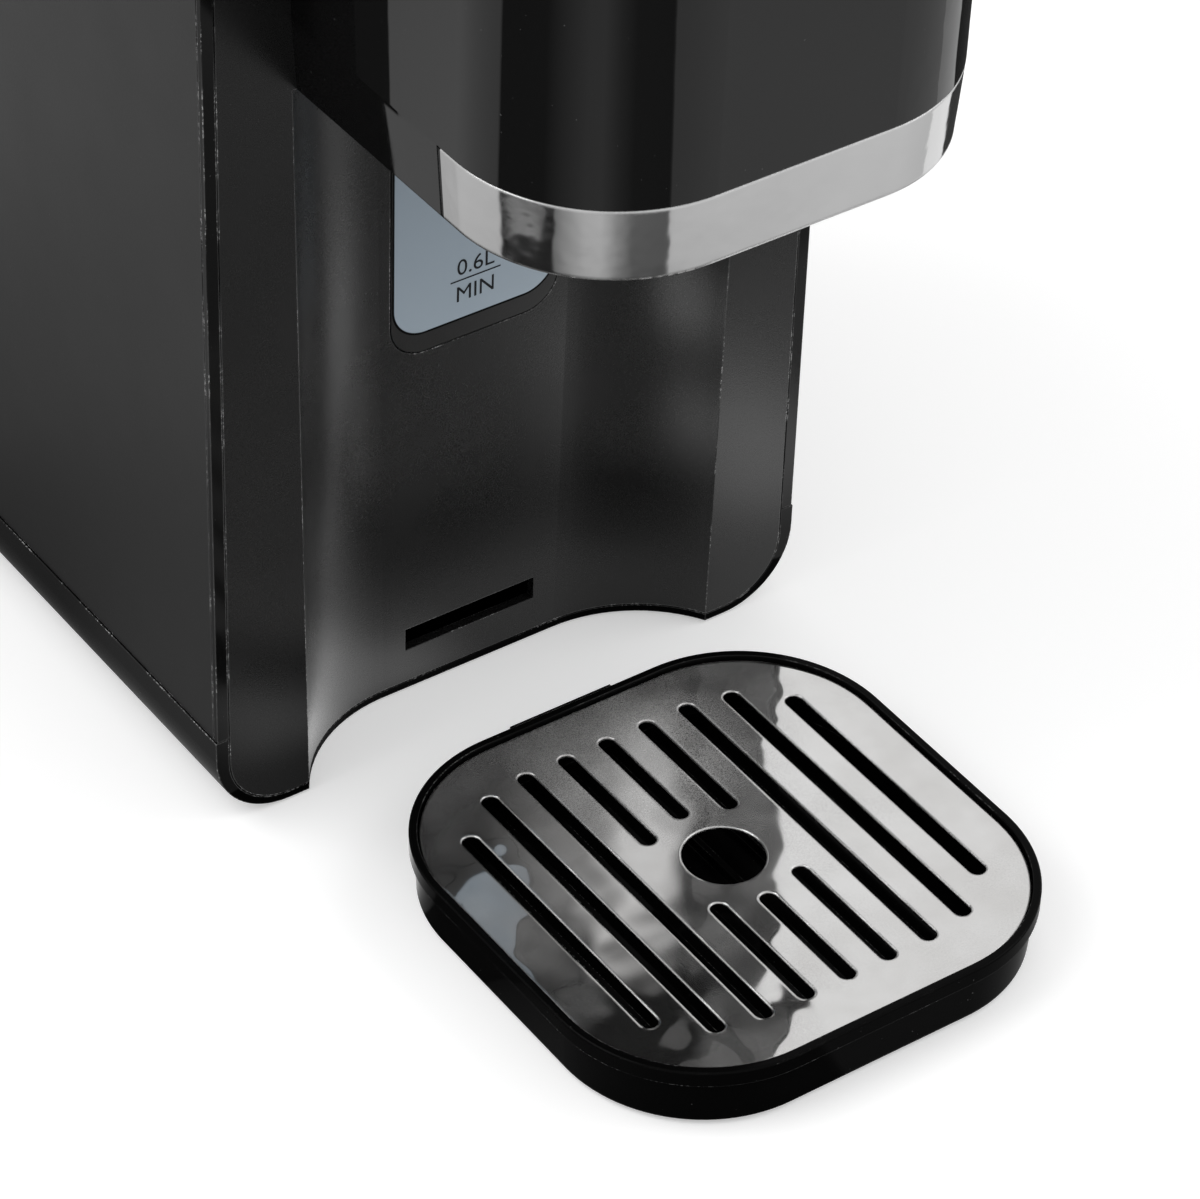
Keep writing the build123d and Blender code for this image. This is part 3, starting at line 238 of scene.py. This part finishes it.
def gloss_black(name, level, rough, shine=0.5, wear_and_sheen=0.0, index=1.5, foot=0.0):
    """Polished black plastic: a faint orange peel, a few dust specks, light wiping marks, pale
    specks where its edges are worn with a painted highlight line along them and, up to its foot,
    painted shade: a dark matt tone with a wavy upper edge, for the shaded floor it mirrors."""
    f = Finish(name)
    peel = f.noise(9 * mm, 1.0)
    wipe = f.noise(3 * mm, 4.0, 0.6, (1.0, 1.0, 0.18))
    dust = f.noise(0.9 * mm, 1.0).above(0.80, 0.03)
    wear_and_edge_sheen = f.wear_and_edge_sheen(wear_and_sheen)
    dusty = f.mix(dust, grey(level), grey(0.05))
    normal = f.bump(peel, 0.012 * mm, f.round_edges(0.3 * mm))
    gloss = f.shader(Base_Color=f.mix(wear_and_edge_sheen, dusty, grey(0.5)),
                     Roughness=rough + wipe.above(0.62, 0.2) * 0.05 + (dust + wear_and_edge_sheen) * 0.3,
                     Normal=normal, IOR=index, Specular_IOR_Level=shine)
    if not foot:
        return f.done(gloss)
    # painted shade: below the foot height, with a wavy edge, the surface turns dark and matt
    wave = f.noise(20 * mm, 1.0)
    swing = 9 * mm
    under = 1.0 - (f.axis("Z") + (wave - 0.5) * swing).above(foot, 0.9 * mm)
    foot_shade = f.shader(Base_Color=f.mix(wear_and_edge_sheen, grey(0.001), grey(0.3)), Roughness=0.5 + wave * 0.1,
                    IOR=index, Specular_IOR_Level=0.05)
    return f.done(f.shared(under, gloss, foot_shade))


def band_chrome():
    """Bright plated trim, with a soft waviness that breaks up what it mirrors and, at its rear
    ends where it stops just short of the casing, a painted dark line for the shadow in that gap."""
    f = Finish("band_chrome")
    wave = f.noise(11 * mm, 2.0)
    haze = f.noise(2.2 * mm, 3.0)
    normal = f.bump(wave, 0.16 * mm, f.round_edges(1.2 * mm))
    tone = f.mix(f.noise(24 * mm, 3.0), grey(0.5), grey(0.57))
    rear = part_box("chrome_band")[1][1]
    gap_shade_width = 1.2 * mm
    # painted shadow: the last stretch of each rear end is near black, for the shade in the gap
    ends = f.axis("Y").above(rear - gap_shade_width, 0.1 * mm)
    return f.surface(Base_Color=f.mix(ends, tone, grey(0.01)), Metallic=1.0,
                     Roughness=0.05 + haze * 0.05, Normal=normal)


def plate_steel():
    """Mirror-polished sheet: large soft ripples, dents from the punched slots, clouded tone
    and a thin uneven veil of fine marks that scatters the light."""
    f = Finish("plate_steel")
    ripple = f.noise(50 * mm, 0.0)
    dent = f.noise(20 * mm, 1.0)
    normal = f.bump(dent, 0.75 * mm, f.bump(ripple, 1.7 * mm, f.round_edges(0.9 * mm)))
    cloud = f.noise(34 * mm, 3.0, 0.6)
    tone = f.mix(cloud.above(0.5, 0.4), grey(0.58, 0.015), grey(0.68, 0.005))
    mirror = f.shader(Base_Color=tone, Metallic=1.0, Normal=normal,
                      Roughness=0.03 + cloud.above(0.55, 0.3) * 0.05)
    low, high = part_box("drip_plate")
    middle = 0.15 * low[1] + 0.85 * high[1]
    half_wide, half_deep = 30 * mm, 34 * mm
    across = f.axis("X") / half_wide
    along = (f.axis("Y") - middle) / half_deep
    smear = 1.0 - (across * across + along * along + f.noise(24 * mm, 3.0) - 0.5).above(0.7, 1.2)
    speck = f.noise(0.32 * mm, 2.0, 0.6).above(0.5, 0.3)
    patch = f.noise(30 * mm, 2.0, 0.5).above(0.52, 0.16) * 0.3
    veil = (smear + patch) * (0.18 + speck * 0.55) + 0.03
    matt = f.shader(Base_Color=grey(0.6, 0.01), Metallic=1.0, Roughness=0.55, Normal=normal)
    return f.done(f.shared(veil, mirror, matt))


def metal(name, level, warm, rough, brush):
    """Plain steel or aluminium. Its fine lines run along the axis whose factor in brush is small."""
    f = Finish(name)
    lines = f.noise(0.6 * mm, 2.0, 0.5, brush)
    patch = f.noise(8 * mm, 3.0)
    colour = f.mix(patch, grey(level * 0.88, warm), grey(level, warm))
    return f.surface(Base_Color=colour, Metallic=1.0, Roughness=rough + lines * 0.16,
                     Normal=f.bump(lines, 0.03 * mm))


def soft_part(name, colour, rough, cell, depth, sheen=0.0):
    """Rubber, silicone or insulation: matt, with a slightly uneven skin."""
    f = Finish(name)
    skin = f.noise(cell, 3.0)
    cloud = f.noise(12 * mm, 2.0)
    dark = tuple(0.82 * c for c in colour)
    mixed = f.mix(cloud, (*dark, 1.0), (*colour, 1.0))
    return f.surface(Base_Color=mixed, Roughness=rough + (skin - 0.5) * 0.2,
                     Normal=f.bump(skin, depth), Sheen_Weight=sheen)


def window_pane():
    """Frosted pale blue polycarbonate, with painted shade darkening it higher up under the head,
    in a printed border that matches the wall and starts with a black line, round a rectangle
    with round corners."""
    f = Finish("window_translucent")
    frost = f.noise(0.5 * mm, 2.0)
    low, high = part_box("level_window")
    # painted shade: the pane's colour darkens towards the top, under the head
    climb = (f.axis("Z") - low[2]) / (high[2] - low[2])
    pane = f.mix(climb, (0.345, 0.415, 0.48, 1.0), (0.225, 0.275, 0.325, 1.0))
    flange, side_border, foot_border, corner = 2.4 * mm, 0.8 * mm, 5.6 * mm, 9.0 * mm
    left, right = low[0] + flange + side_border, high[0] - flange - side_border
    foot, top = low[2] + flange + foot_border, high[2] - flange - side_border
    across = (abs(f.axis("X") - (left + right) / 2) - ((right - left) / 2 - corner)).at_least(0.0)
    up = (abs(f.axis("Z") - (foot + top) / 2) - ((top - foot) / 2 - corner)).at_least(0.0)
    reach = (across * across + up * up).root()
    line_width = 0.6 * mm
    outside = reach.above(corner, 0.15 * mm)
    outline = 1.0 - reach.above(corner + line_width, 0.2 * mm)
    clear = f.shader(Base_Color=pane, Roughness=0.18 + frost * 0.06, IOR=1.58,
                     Normal=f.bump(frost, 0.006 * mm))
    print_tone = f.mix(frost, grey(0.0065), grey(0.0085))
    wall = f.shader(Base_Color=print_tone, Roughness=0.28 + frost * 0.06, Specular_IOR_Level=0.28,
                    Normal=f.bump(frost, 0.02 * mm))
    line = f.shader(Base_Color=grey(0.001), Roughness=0.45 + frost * 0.06, Specular_IOR_Level=0.03)
    return f.done(f.shared(outside, clear, f.shared(outline, wall, line)))


def tank_clear():
    """Smoke-tinted clear moulding."""
    f = Finish("tank_clear")
    ripple = f.noise(16 * mm, 1.0)
    haze = f.noise(3 * mm, 3.0)
    return f.surface(Base_Color=(0.62, 0.68, 0.72, 1.0), Transmission_Weight=0.85, IOR=1.5,
                     Roughness=0.06 + haze * 0.06, Normal=f.bump(ripple, 0.05 * mm))


def circuit_board():
    """Green lacquer over copper tracks."""
    f = Finish("board_green")
    across = (f.axis("Y") * (math.tau / (2.2 * mm))).sine()
    along = (f.axis("Z") * (math.tau / (3.4 * mm))).sine()
    tracks = (across * along + f.noise(3 * mm, 1.0) - 0.5).above(0.25, 0.1)
    colour = f.mix(tracks, (0.012, 0.09, 0.035, 1.0), (0.03, 0.17, 0.06, 1.0))
    return f.surface(Base_Color=colour, Roughness=0.3 + tracks * 0.1,
                     Normal=f.bump(tracks, 0.03 * mm))


def print_ink(name, colour, rough, shine=0.5):
    """Screen-printed ink with a slightly uneven cover."""
    f = Finish(name)
    cover = f.noise(0.5 * mm, 2.0)
    faint = tuple(0.85 * c for c in colour)
    return f.surface(Base_Color=f.mix(cover, (*faint, 1.0), (*colour, 1.0)),
                     Roughness=rough + cover * 0.1, Specular_IOR_Level=shine)


finishes = {
    "casing_charcoal": moulded_black("casing_charcoal", 0.010, 0.40, 0.018 * mm, shine=0.25, wear_and_sheen=0.8),
    "panel_black": moulded_black("panel_black", 0.007, 0.28, 0.026 * mm, shine=0.28, wear_and_sheen=1.0),
    # base_black's foot is a painted shade band along its lowest edge
    "base_black": gloss_black("base_black", 0.004, 0.18, wear_and_sheen=1.0, index=1.2, foot=11.4 * mm),
    "head_gloss_black": gloss_black("head_gloss_black", 0.003, 0.03, shine=0.32),
    "trim_gloss_black": gloss_black("trim_gloss_black", 0.004, 0.12, wear_and_sheen=0.9, index=1.22),
    "tray_gloss_black": gloss_black("tray_gloss_black", 0.002, 0.10, wear_and_sheen=0.2, index=1.1),
    "touch_glass_black": gloss_black("touch_glass_black", 0.003, 0.02),
    "band_chrome": band_chrome(),
    "plate_steel": plate_steel(),
    "window_translucent": window_pane(),
    "tank_clear": tank_clear(),
    "tank_black": moulded_black("tank_black", 0.014, 0.32, 0.012 * mm),
    "foot_rubber": soft_part("foot_rubber", (0.02, 0.02, 0.021), 0.75, 0.6 * mm, 0.05 * mm,
                             sheen=0.2),
    "seal_silicone": soft_part("seal_silicone", (0.62, 0.16, 0.09), 0.55, 0.8 * mm, 0.02 * mm),
    "hose_silicone": soft_part("hose_silicone", (0.58, 0.6, 0.6), 0.42, 0.9 * mm, 0.02 * mm),
    "inner_grey": moulded_black("inner_grey", 0.18, 0.5, 0.02 * mm),
    "inner_white": moulded_black("inner_white", 0.55, 0.45, 0.02 * mm),
    "screw_steel": metal("screw_steel", 0.42, 0.02, 0.28, (1.0, 1.0, 1.0)),
    "stainless": metal("stainless", 0.58, 0.02, 0.2, (0.06, 1.0, 1.0)),
    "bracket_steel": metal("bracket_steel", 0.5, 0.0, 0.32, (0.1, 1.0, 1.0)),
    "sink_aluminium": metal("sink_aluminium", 0.68, -0.01, 0.35, (1.0, 1.0, 0.08)),
    "board_green": circuit_board(),
    "relay_black": moulded_black("relay_black", 0.012, 0.45, 0.02 * mm),
    "wire_black": soft_part("wire_black", (0.012, 0.012, 0.012), 0.45, 0.7 * mm, 0.02 * mm),
    "wire_red": soft_part("wire_red", (0.42, 0.02, 0.015), 0.4, 0.7 * mm, 0.02 * mm),
}


def dress(piece, finish):
    """Gives every material slot of a piece one finish."""
    if not piece.material_slots:
        piece.data.materials.append(finish)
    for place in piece.material_slots:
        place.material = finish


def placed(name, mesh, finish):
    """A new object from a mesh, with one finish."""
    piece = bpy.data.objects.new(name, mesh)
    bpy.context.scene.collection.objects.link(piece)
    dress(piece, finish)
    return piece


def valve_coil():
    """The valve's spring, whose shape here stays fixed, though the real one shortens towards its
    upper end as the valve rises. Its path is a helix, and a point of its skin is the path's point,
    plus the wire's radius times the cosine of an angle outwards and the sine of it upwards. Both
    ends are closed."""
    low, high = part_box("valve_spring")
    x, y = (low[0] + high[0]) / 2, (low[1] + high[1]) / 2
    wire, turns, along, around = 0.35 * mm, 4, 193, 12
    turn = np.linspace(0, turns * math.tau, along)[:, None]
    ring = np.linspace(0, math.tau, around, endpoint=False)[None, :]
    reach = (high[0] - low[0]) / 2 - wire + wire * np.cos(ring)
    climb = low[2] + wire + (high[2] - low[2] - 2 * wire) * turn / (turns * math.tau)
    skin = np.stack([x + reach * np.cos(turn), y + reach * np.sin(turn),
                     climb + wire * np.sin(ring)], 2)
    first = np.arange((along - 1) * around).reshape(along - 1, around)
    beside = np.roll(first, -1, 1)
    faces = np.stack([first, first + around, beside + around, beside], 2).reshape(-1, 4).tolist()
    end = (along - 1) * around
    faces += [list(range(around)), list(range(end + around - 1, end - 1, -1))]
    mesh = bpy.data.meshes.new("valve_coil")
    mesh.from_pydata(skin.reshape(-1, 3).tolist(), [], faces)
    mesh.shade_smooth()
    coil = placed("valve_coil", mesh, finishes["stainless"])
    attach(coil, "water_tank")
    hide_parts("valve_spring")
    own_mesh(coil)


def line_strip(points, width, closed=False):
    """A flat ribbon along points in a plane: each point is set off to both sides along the
    normal of the path there, which is the mean of its two runs' normals."""
    p = np.asarray(points, float)
    before, after = np.roll(p, 1, 0), np.roll(p, -1, 0)
    if not closed:
        before[0] = 2 * p[0] - p[1]
        after[-1] = 2 * p[-1] - p[-2]
    run = after - before
    run /= np.linalg.norm(run, axis=1)[:, None]
    side = np.stack([-run[:, 1], run[:, 0]], 1) * width / 2
    count = len(p)
    first = np.arange(count if closed else count - 1)
    then = (first + 1) % count
    faces = np.stack([first, first + count, then + count, then], 1)
    return np.concatenate([p - side, p + side]), faces


def arc(x, y, radius, start, end, count=40):
    """Points on a circle between two angles in degrees."""
    turn = np.radians(np.linspace(start, end, count))
    return np.stack([x + radius * np.cos(turn), y + radius * np.sin(turn)], 1)


def flat_mesh(name, shapes):
    """One flat mesh in its own plane from lists of 2-D points and faces."""
    points, faces, count = [], [], 0
    for corners, sides in shapes:
        points += [(float(x), float(y), 0.0) for x, y in corners]
        faces += [tuple(int(i) + count for i in side) for side in sides]
        count += len(corners)
    mesh = bpy.data.meshes.new(name)
    mesh.from_pydata(points, [], faces)
    return mesh


def lettering(words, height, x, y):
    """A word as a flat mesh: it is centred on x and stands on y, in the plane's own sizes."""
    capital = 0.72  # a capital's height, as a share of the font's size
    curve = bpy.data.curves.new(words, "FONT")
    curve.body = words
    curve.align_x = "CENTER"
    curve.size = height / capital
    curve.resolution_u = 6
    text = bpy.data.objects.new(words, curve)
    bpy.context.scene.collection.objects.link(text)
    bpy.context.view_layer.update()
    mesh = bpy.data.meshes.new_from_object(text.evaluated_get(bpy.context.evaluated_depsgraph_get()))
    bpy.data.objects.remove(text)
    mesh.transform(Matrix.Translation((x, y, 0)))
    return mesh


def printed(name, meshes, plane, finish, body):
    """Flat marks laid on a plane of the object: joined, placed and fixed to a body."""
    points, faces, count = [], [], 0
    for mesh in meshes:
        points += [plane @ v.co for v in mesh.vertices]
        faces += [tuple(i + count for i in face.vertices) for face in mesh.polygons]
        count += len(mesh.vertices)
    joined = bpy.data.meshes.new(name)
    joined.from_pydata(points, [], faces)
    piece = placed(name, joined, finish)
    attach(piece, body)


def rectangle(x0, x1, y0, y1):
    return [(x0, y0), (x1, y0), (x1, y1), (x0, y1)], [(0, 1, 2, 3)]


def window_marks():
    """Level lines and their words on the window: the least filling low down, the most near
    the top. The plane's x runs right and its y runs up, just proud of the pane."""
    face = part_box("level_window")[0][1] - 0.05 * mm
    plane = Matrix.Translation((0, face, 0)) @ Matrix.Rotation(math.radians(90), 4, "X")
    half_line, thick, tall = 7.2 * mm, 0.42 * mm, 4.6 * mm
    over, under = 1.5 * mm, -6.2 * mm
    levels = ((121.5 * mm, (("0.6L", over), ("MIN", under))), (189.5 * mm, (("2.0L", under),)))
    marks = []
    for z, words in levels:
        line = rectangle(-half_line, half_line, z - thick / 2, z + thick / 2)
        marks.append(flat_mesh("level_line", [line]))
        marks += [lettering(word, tall, 0, z + shift) for word, shift in words]
    ink = print_ink("window_ink", (0.003, 0.004, 0.006), 0.4, 0.15)
    printed("window_marks", marks, plane, ink, "housing")


def drop_shape(x, y, size, count=48):
    """A drop's outline: a circle whose upper part is drawn up to a point."""
    turn = np.linspace(0, 2 * math.pi, count, endpoint=False)
    wide = size * 0.5 * np.sin(turn) * np.sin(turn / 2) ** 1.2
    return np.stack([x + wide, y + size * 0.62 * np.cos(turn)], 1)


def cup_shape(x, y, wide, tall):
    """A cup from the side: a tapered outline that is open at the top."""
    foot = wide * 0.36
    return [(x - wide / 2, y + tall), (x - foot, y), (x + foot, y), (x + wide / 2, y + tall)]


def panel_marks():
    """Pale marks on the touch panel: degrees, three cups, power, lock and a drop for rinsing.
    The plane lies on the sloping roof, with its y up the slope."""
    low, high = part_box("touch_panel")
    rise = 0.19
    slope = math.atan(rise)
    middle = (low[1] + high[1]) / 2
    lift = high[2] - (high[1] - middle) * math.tan(slope) + 0.08 * mm
    plane = Matrix.Translation((0, middle, lift)) @ Matrix.Rotation(slope, 4, "X")
    thick, cup_foot = 0.45 * mm, -8 * mm
    marks = []
    for x, words in ((-36, "45\u00b0"), (-12, "70\u00b0"), (12, "85\u00b0"), (36, "98\u00b0")):
        marks.append(lettering(words, 4.4 * mm, x * mm, 17 * mm))
    for x, wide, tall in ((-24, 6.0, 5.0), (0, 7.6, 7.0), (24, 9.2, 9.0)):
        outline = cup_shape(x * mm, cup_foot, wide * mm, tall * mm)
        half_level, up = wide * 0.4 * mm, cup_foot + tall * 0.6 * mm
        level = [(x * mm - half_level, up), (x * mm + half_level, up)]
        marks.append(flat_mesh("cup", [line_strip(outline, thick), line_strip(level, thick)]))
    ring = arc(-30 * mm, -30 * mm, 3.4 * mm, 120, 420)
    stroke = [(-30 * mm, -29.4 * mm), (-30 * mm, -25.8 * mm)]
    marks.append(flat_mesh("power", [line_strip(ring, thick), line_strip(stroke, thick)]))
    drop = drop_shape(0, -30 * mm, 6.4 * mm)
    marks.append(flat_mesh("drop", [line_strip(drop, thick, True)]))
    chest = [(27 * mm, -33 * mm), (33 * mm, -33 * mm), (33 * mm, -28.8 * mm), (27 * mm, -28.8 * mm)]
    shackle = arc(30 * mm, -28.8 * mm, 2.1 * mm, 0, 180)
    marks.append(flat_mesh("lock", [line_strip(chest, thick, True), line_strip(shackle, thick)]))
    ink = print_ink("panel_ink", (0.52, 0.54, 0.56), 0.4)
    printed("touch_marks", marks, plane, ink, "housing")


def studio():
    """White floor and white air. Both are at their full level for what is seen directly, and a
    little darker where they light the object."""
    tone, own_glow, as_light = 0.86, 0.36, 0.75
    f = Finish("studio_floor")
    base = f.node("ShaderNodeBsdfDiffuse", None, {"Color": grey(tone)})
    glow = f.node("ShaderNodeEmission", None, {"Color": f.seen_directly() * own_glow})
    finish = f.done(f.node("ShaderNodeAddShader", None, {0: base, 1: glow}))
    half = 6.0
    mesh = bpy.data.meshes.new("studio_floor")
    corners = [(-half, -half, 0), (half, -half, 0), (half, half, 0), (-half, half, 0)]
    mesh.from_pydata(corners, [], [(0, 1, 2, 3)])
    floor = placed("studio_floor", mesh, finish)

    air = Finish("studio_air", bpy.data.worlds)
    level = as_light + air.seen_directly() * (1.0 - as_light)
    glow = air.node("ShaderNodeBackground", None, {"Color": level})
    air.node("ShaderNodeOutputWorld", None, {"Surface": glow})
    bpy.context.scene.world = air.owner


def flag(name, points, faces, f, glow):
    """A sheet with a glow of its own that only mirroring surfaces see."""
    mesh = bpy.data.meshes.new(name)
    mesh.from_pydata(points, [], faces)
    sheet = placed(name, mesh, f.done(glow))
    sheet.visible_camera = sheet.visible_diffuse = sheet.visible_shadow = False
    sheet.visible_transmission = sheet.visible_volume_scatter = False


def mirrored_flags():
    """A flat ring round the head's front-left corner, just above the floor, seen only by mirroring
    surfaces: painted reflections of dark flags to the left and in front, as a photographer sets
    them, with a pale gap between them, a dark board for the chrome band, and a darker foot that
    is painted shade of the floor near the machine. A level depends on the bearing from the
    corner, in degrees, and on the reach from it."""
    x, y, near, far = -23.4 * mm, -80.7 * mm, 0.035, 2.4
    start, end = 95.0, 345.0
    turns = np.radians(np.linspace(start, end, 181))
    rims = [(x + r * math.cos(t), y + r * math.sin(t), 0.3 * mm) for r in (near, far) for t in turns]
    count = len(turns)
    faces = [(i, i + count, i + count + 1, i + 1) for i in range(count - 1)]
    f = Finish("mirrored_flags")
    east, north = f.axis("X") - x, f.axis("Y") - y
    bearing = east.bearing(north)
    reach = (east * east + north * north).root()

    levels = ((95, 0.34), (119, 0.36), (123, 0.62), (132, 0.82), (164.8, 0.82), (166.2, 0.1),
              (196, 0.14), (208, 0.44), (222, 0.76), (231, 0.8), (241, 0.42), (250, 0.19),
              (272.5, 0.16), (273.6, 0.86), (320, 0.92), (345, 0.8))
    stops = [((angle - start) / (end - start), level) for angle, level in levels]
    still_bearing, still_reach, splay = 200, 0.33, 0.3
    turned = bearing + (reach - still_reach) * (bearing - still_bearing) * splay
    around = f.ramp((turned - start) / (end - start), stops)
    # painted shade: the ring darkens near the corner, for the shaded floor close to the machine
    full_reach = 0.45
    outward = f.ramp(reach / full_reach, [(0.08, 0.25), (0.29, 0.38), (0.51, 0.44), (0.58, 0.84),
                                          (0.67, 0.92), (0.9, 1.0)])
    far_left = reach.above(0.36, 0.12) * (1.0 - bearing.above(120, 5))

    # painted reflection: a dark board with pale strokes, which the chrome band mirrors
    board = bearing.above(165.5, 0.5) * (1.0 - bearing.above(201.5, 0.5))
    board = board * (1.0 - reach.above(0.31, 0.01))
    lines = {"noise_dimensions": "2D"}
    swirl = f.node("ShaderNodeCombineXYZ", None, {0: bearing * 0.04, 1: reach * 420 - bearing * 0.04})
    strokes = f.node("ShaderNodeTexNoise", lines, {"Vector": swirl, "Scale": 1.0, "Detail": 3.0})
    ends = f.node("ShaderNodeCombineXYZ", None, {0: bearing * 0.01, 1: reach * 620})
    ragged = bearing + f.node("ShaderNodeTexNoise", lines, {"Vector": ends, "Scale": 1.0}) * 36
    painted = strokes.above(0.4, 0.12) * ragged.above(188, 2) * (1.0 - ragged.above(212, 2))
    painted = painted * reach.above(0.2705, 0.002)
    colour = (around * outward + far_left * 0.45) * (1.0 - board) + board * (painted * 0.34 + 0.025)
    flag("mirrored_flags", rims, faces, f, f.node("ShaderNodeEmission", None, {"Color": colour}))


def mirrored_patch(name, low, high, level, soft):
    """Light thrown back at the machine, or a dark card: a rectangle between two corners with
    soft edges. It is flat in z, x or y, and shows only from above, from the right or from the
    front."""
    f = Finish(name)
    back = f.node("ShaderNodeNewGeometry", output="Backfacing")
    cover = 1.0 - back
    for axis, start, end in zip("XYZ", low, high):
        if end > start:
            off = abs(f.axis(axis) - (start + end) / 2) / ((end - start) / 2)
            cover = cover * (1.0 - off.above(1 - soft / 2, soft))
    glow = f.node("ShaderNodeEmission", None, {"Color": grey(level)})
    clear = f.node("ShaderNodeBsdfTransparent")
    (x0, y0, z0), (x1, y1, z1) = low, high
    corners = [(x0, y0, z0), (x1, y0, z0), (x1, y1, z1), (x0, y1, z1)]
    if x0 == x1:
        corners = [(x0, y0, z0), (x0, y1, z0), (x0, y1, z1), (x0, y0, z1)]
    flag(name, corners, [(0, 1, 2, 3)], f, f.shared(cover, clear, glow))


def lamp(name, place, width, height, power):
    """A rectangular soft lamp that points at the machine."""
    light = bpy.data.lights.new(name, "AREA")
    light.shape = "RECTANGLE"
    light.size = width
    light.size_y = height
    light.energy = power
    stand = bpy.data.objects.new(name, light)
    bpy.context.scene.collection.objects.link(stand)
    stand.location = place
    aim = Vector((0, 0, 0.1))
    stand.rotation_euler = (aim - Vector(place)).to_track_quat("-Z", "Y").to_euler()


def camera():
    """Looks down from the front left, as the photograph does."""
    lens = bpy.data.cameras.new("camera")
    lens.sensor_width = 36.0
    lens.lens = 153.7
    lens.clip_start = 0.05
    lens.clip_end = 50
    stand = bpy.data.objects.new("camera", lens)
    bpy.context.scene.collection.objects.link(stand)
    place = Vector((-0.5636, -0.8214, 0.8361))
    ahead = Vector((0.4581, 0.6254, -0.6316)).normalized()
    level = Vector((ahead.y, -ahead.x, 0)).normalized()
    roll = math.radians(-2.15)
    right = Matrix.Rotation(roll, 3, ahead) @ level
    up = right.cross(ahead)
    turn = Matrix((right, up, -ahead)).transposed()
    stand.matrix_world = Matrix.Translation(place) @ turn.to_4x4()
    bpy.context.scene.camera = stand


for part in frame["record"]["subparts"]:
    dress(frame["nodes"][part["node"]], finishes[part["material_slot"]])
valve_coil()
window_marks()
panel_marks()

studio()
mirrored_flags()
# Painted reflections, seen only by mirroring surfaces: bright patches of bounced light, dark cards
patches = (  # name, its two corners, its level and how soft its edges are
    ("bounce_high_in_recess", (0.020, -0.060, 0.054), (0.020, -0.022, 0.084), 5.0, 0.8),
    ("bounce_low_in_recess", (0.020, -0.046, 0.018), (0.020, -0.018, 0.048), 3.2, 0.8),
    ("bounce_from_floor", (-0.065, -0.020, 0.0012), (0.010, 0.008, 0.0012), 2.0, 0.8),
    ("bounce_on_left", (-0.080, -0.068, 0.0012), (-0.028, -0.026, 0.0012), 1.2, 0.8),
    ("bounce_on_right", (0.080, -0.115, 0.0012), (0.150, -0.030, 0.0012), 2.6, 0.8),
    ("bounce_on_head", (-0.074, -0.056, 0.184), (-0.074, -0.032, 0.207), 0.6, 0.1),
    ("glow_on_plate", (-0.026, -0.041, 0.018), (0.044, -0.041, 0.116), 0.30, 1.0),
    # painted highlight: a bright streak that the drip plate mirrors
    ("highlight_streak_on_plate", (0.006, -0.0412, 0.020), (0.038, -0.0412, 0.130), 0.8, 0.8),
    ("shade_on_head", (-0.074, -0.0385, 0.207), (-0.074, -0.024, 0.270), 0.04, 0.1),
    ("shade_before_recess", (-0.015, -0.070, 0.0008), (0.075, -0.024, 0.0008), 0.25, 0.3),
    ("shade_beside_tray", (0.140, -0.105, 0.0006), (0.300, -0.030, 0.0006), 0.5, 0.8),
    ("shade_on_right", (0.270, -0.050, 0.0009), (0.460, 0.160, 0.0009), 0.05, 0.1),
)
for patch in patches:
    mirrored_patch(*patch)
lamp("key", (-1.3, 0.5, 1.9), width=1.5, height=1.2, power=18)
lamp("fill", (1.6, -0.9, 1.4), width=1.2, height=1.2, power=7)
camera()
bpy.context.scene.view_settings.view_transform = "Standard"
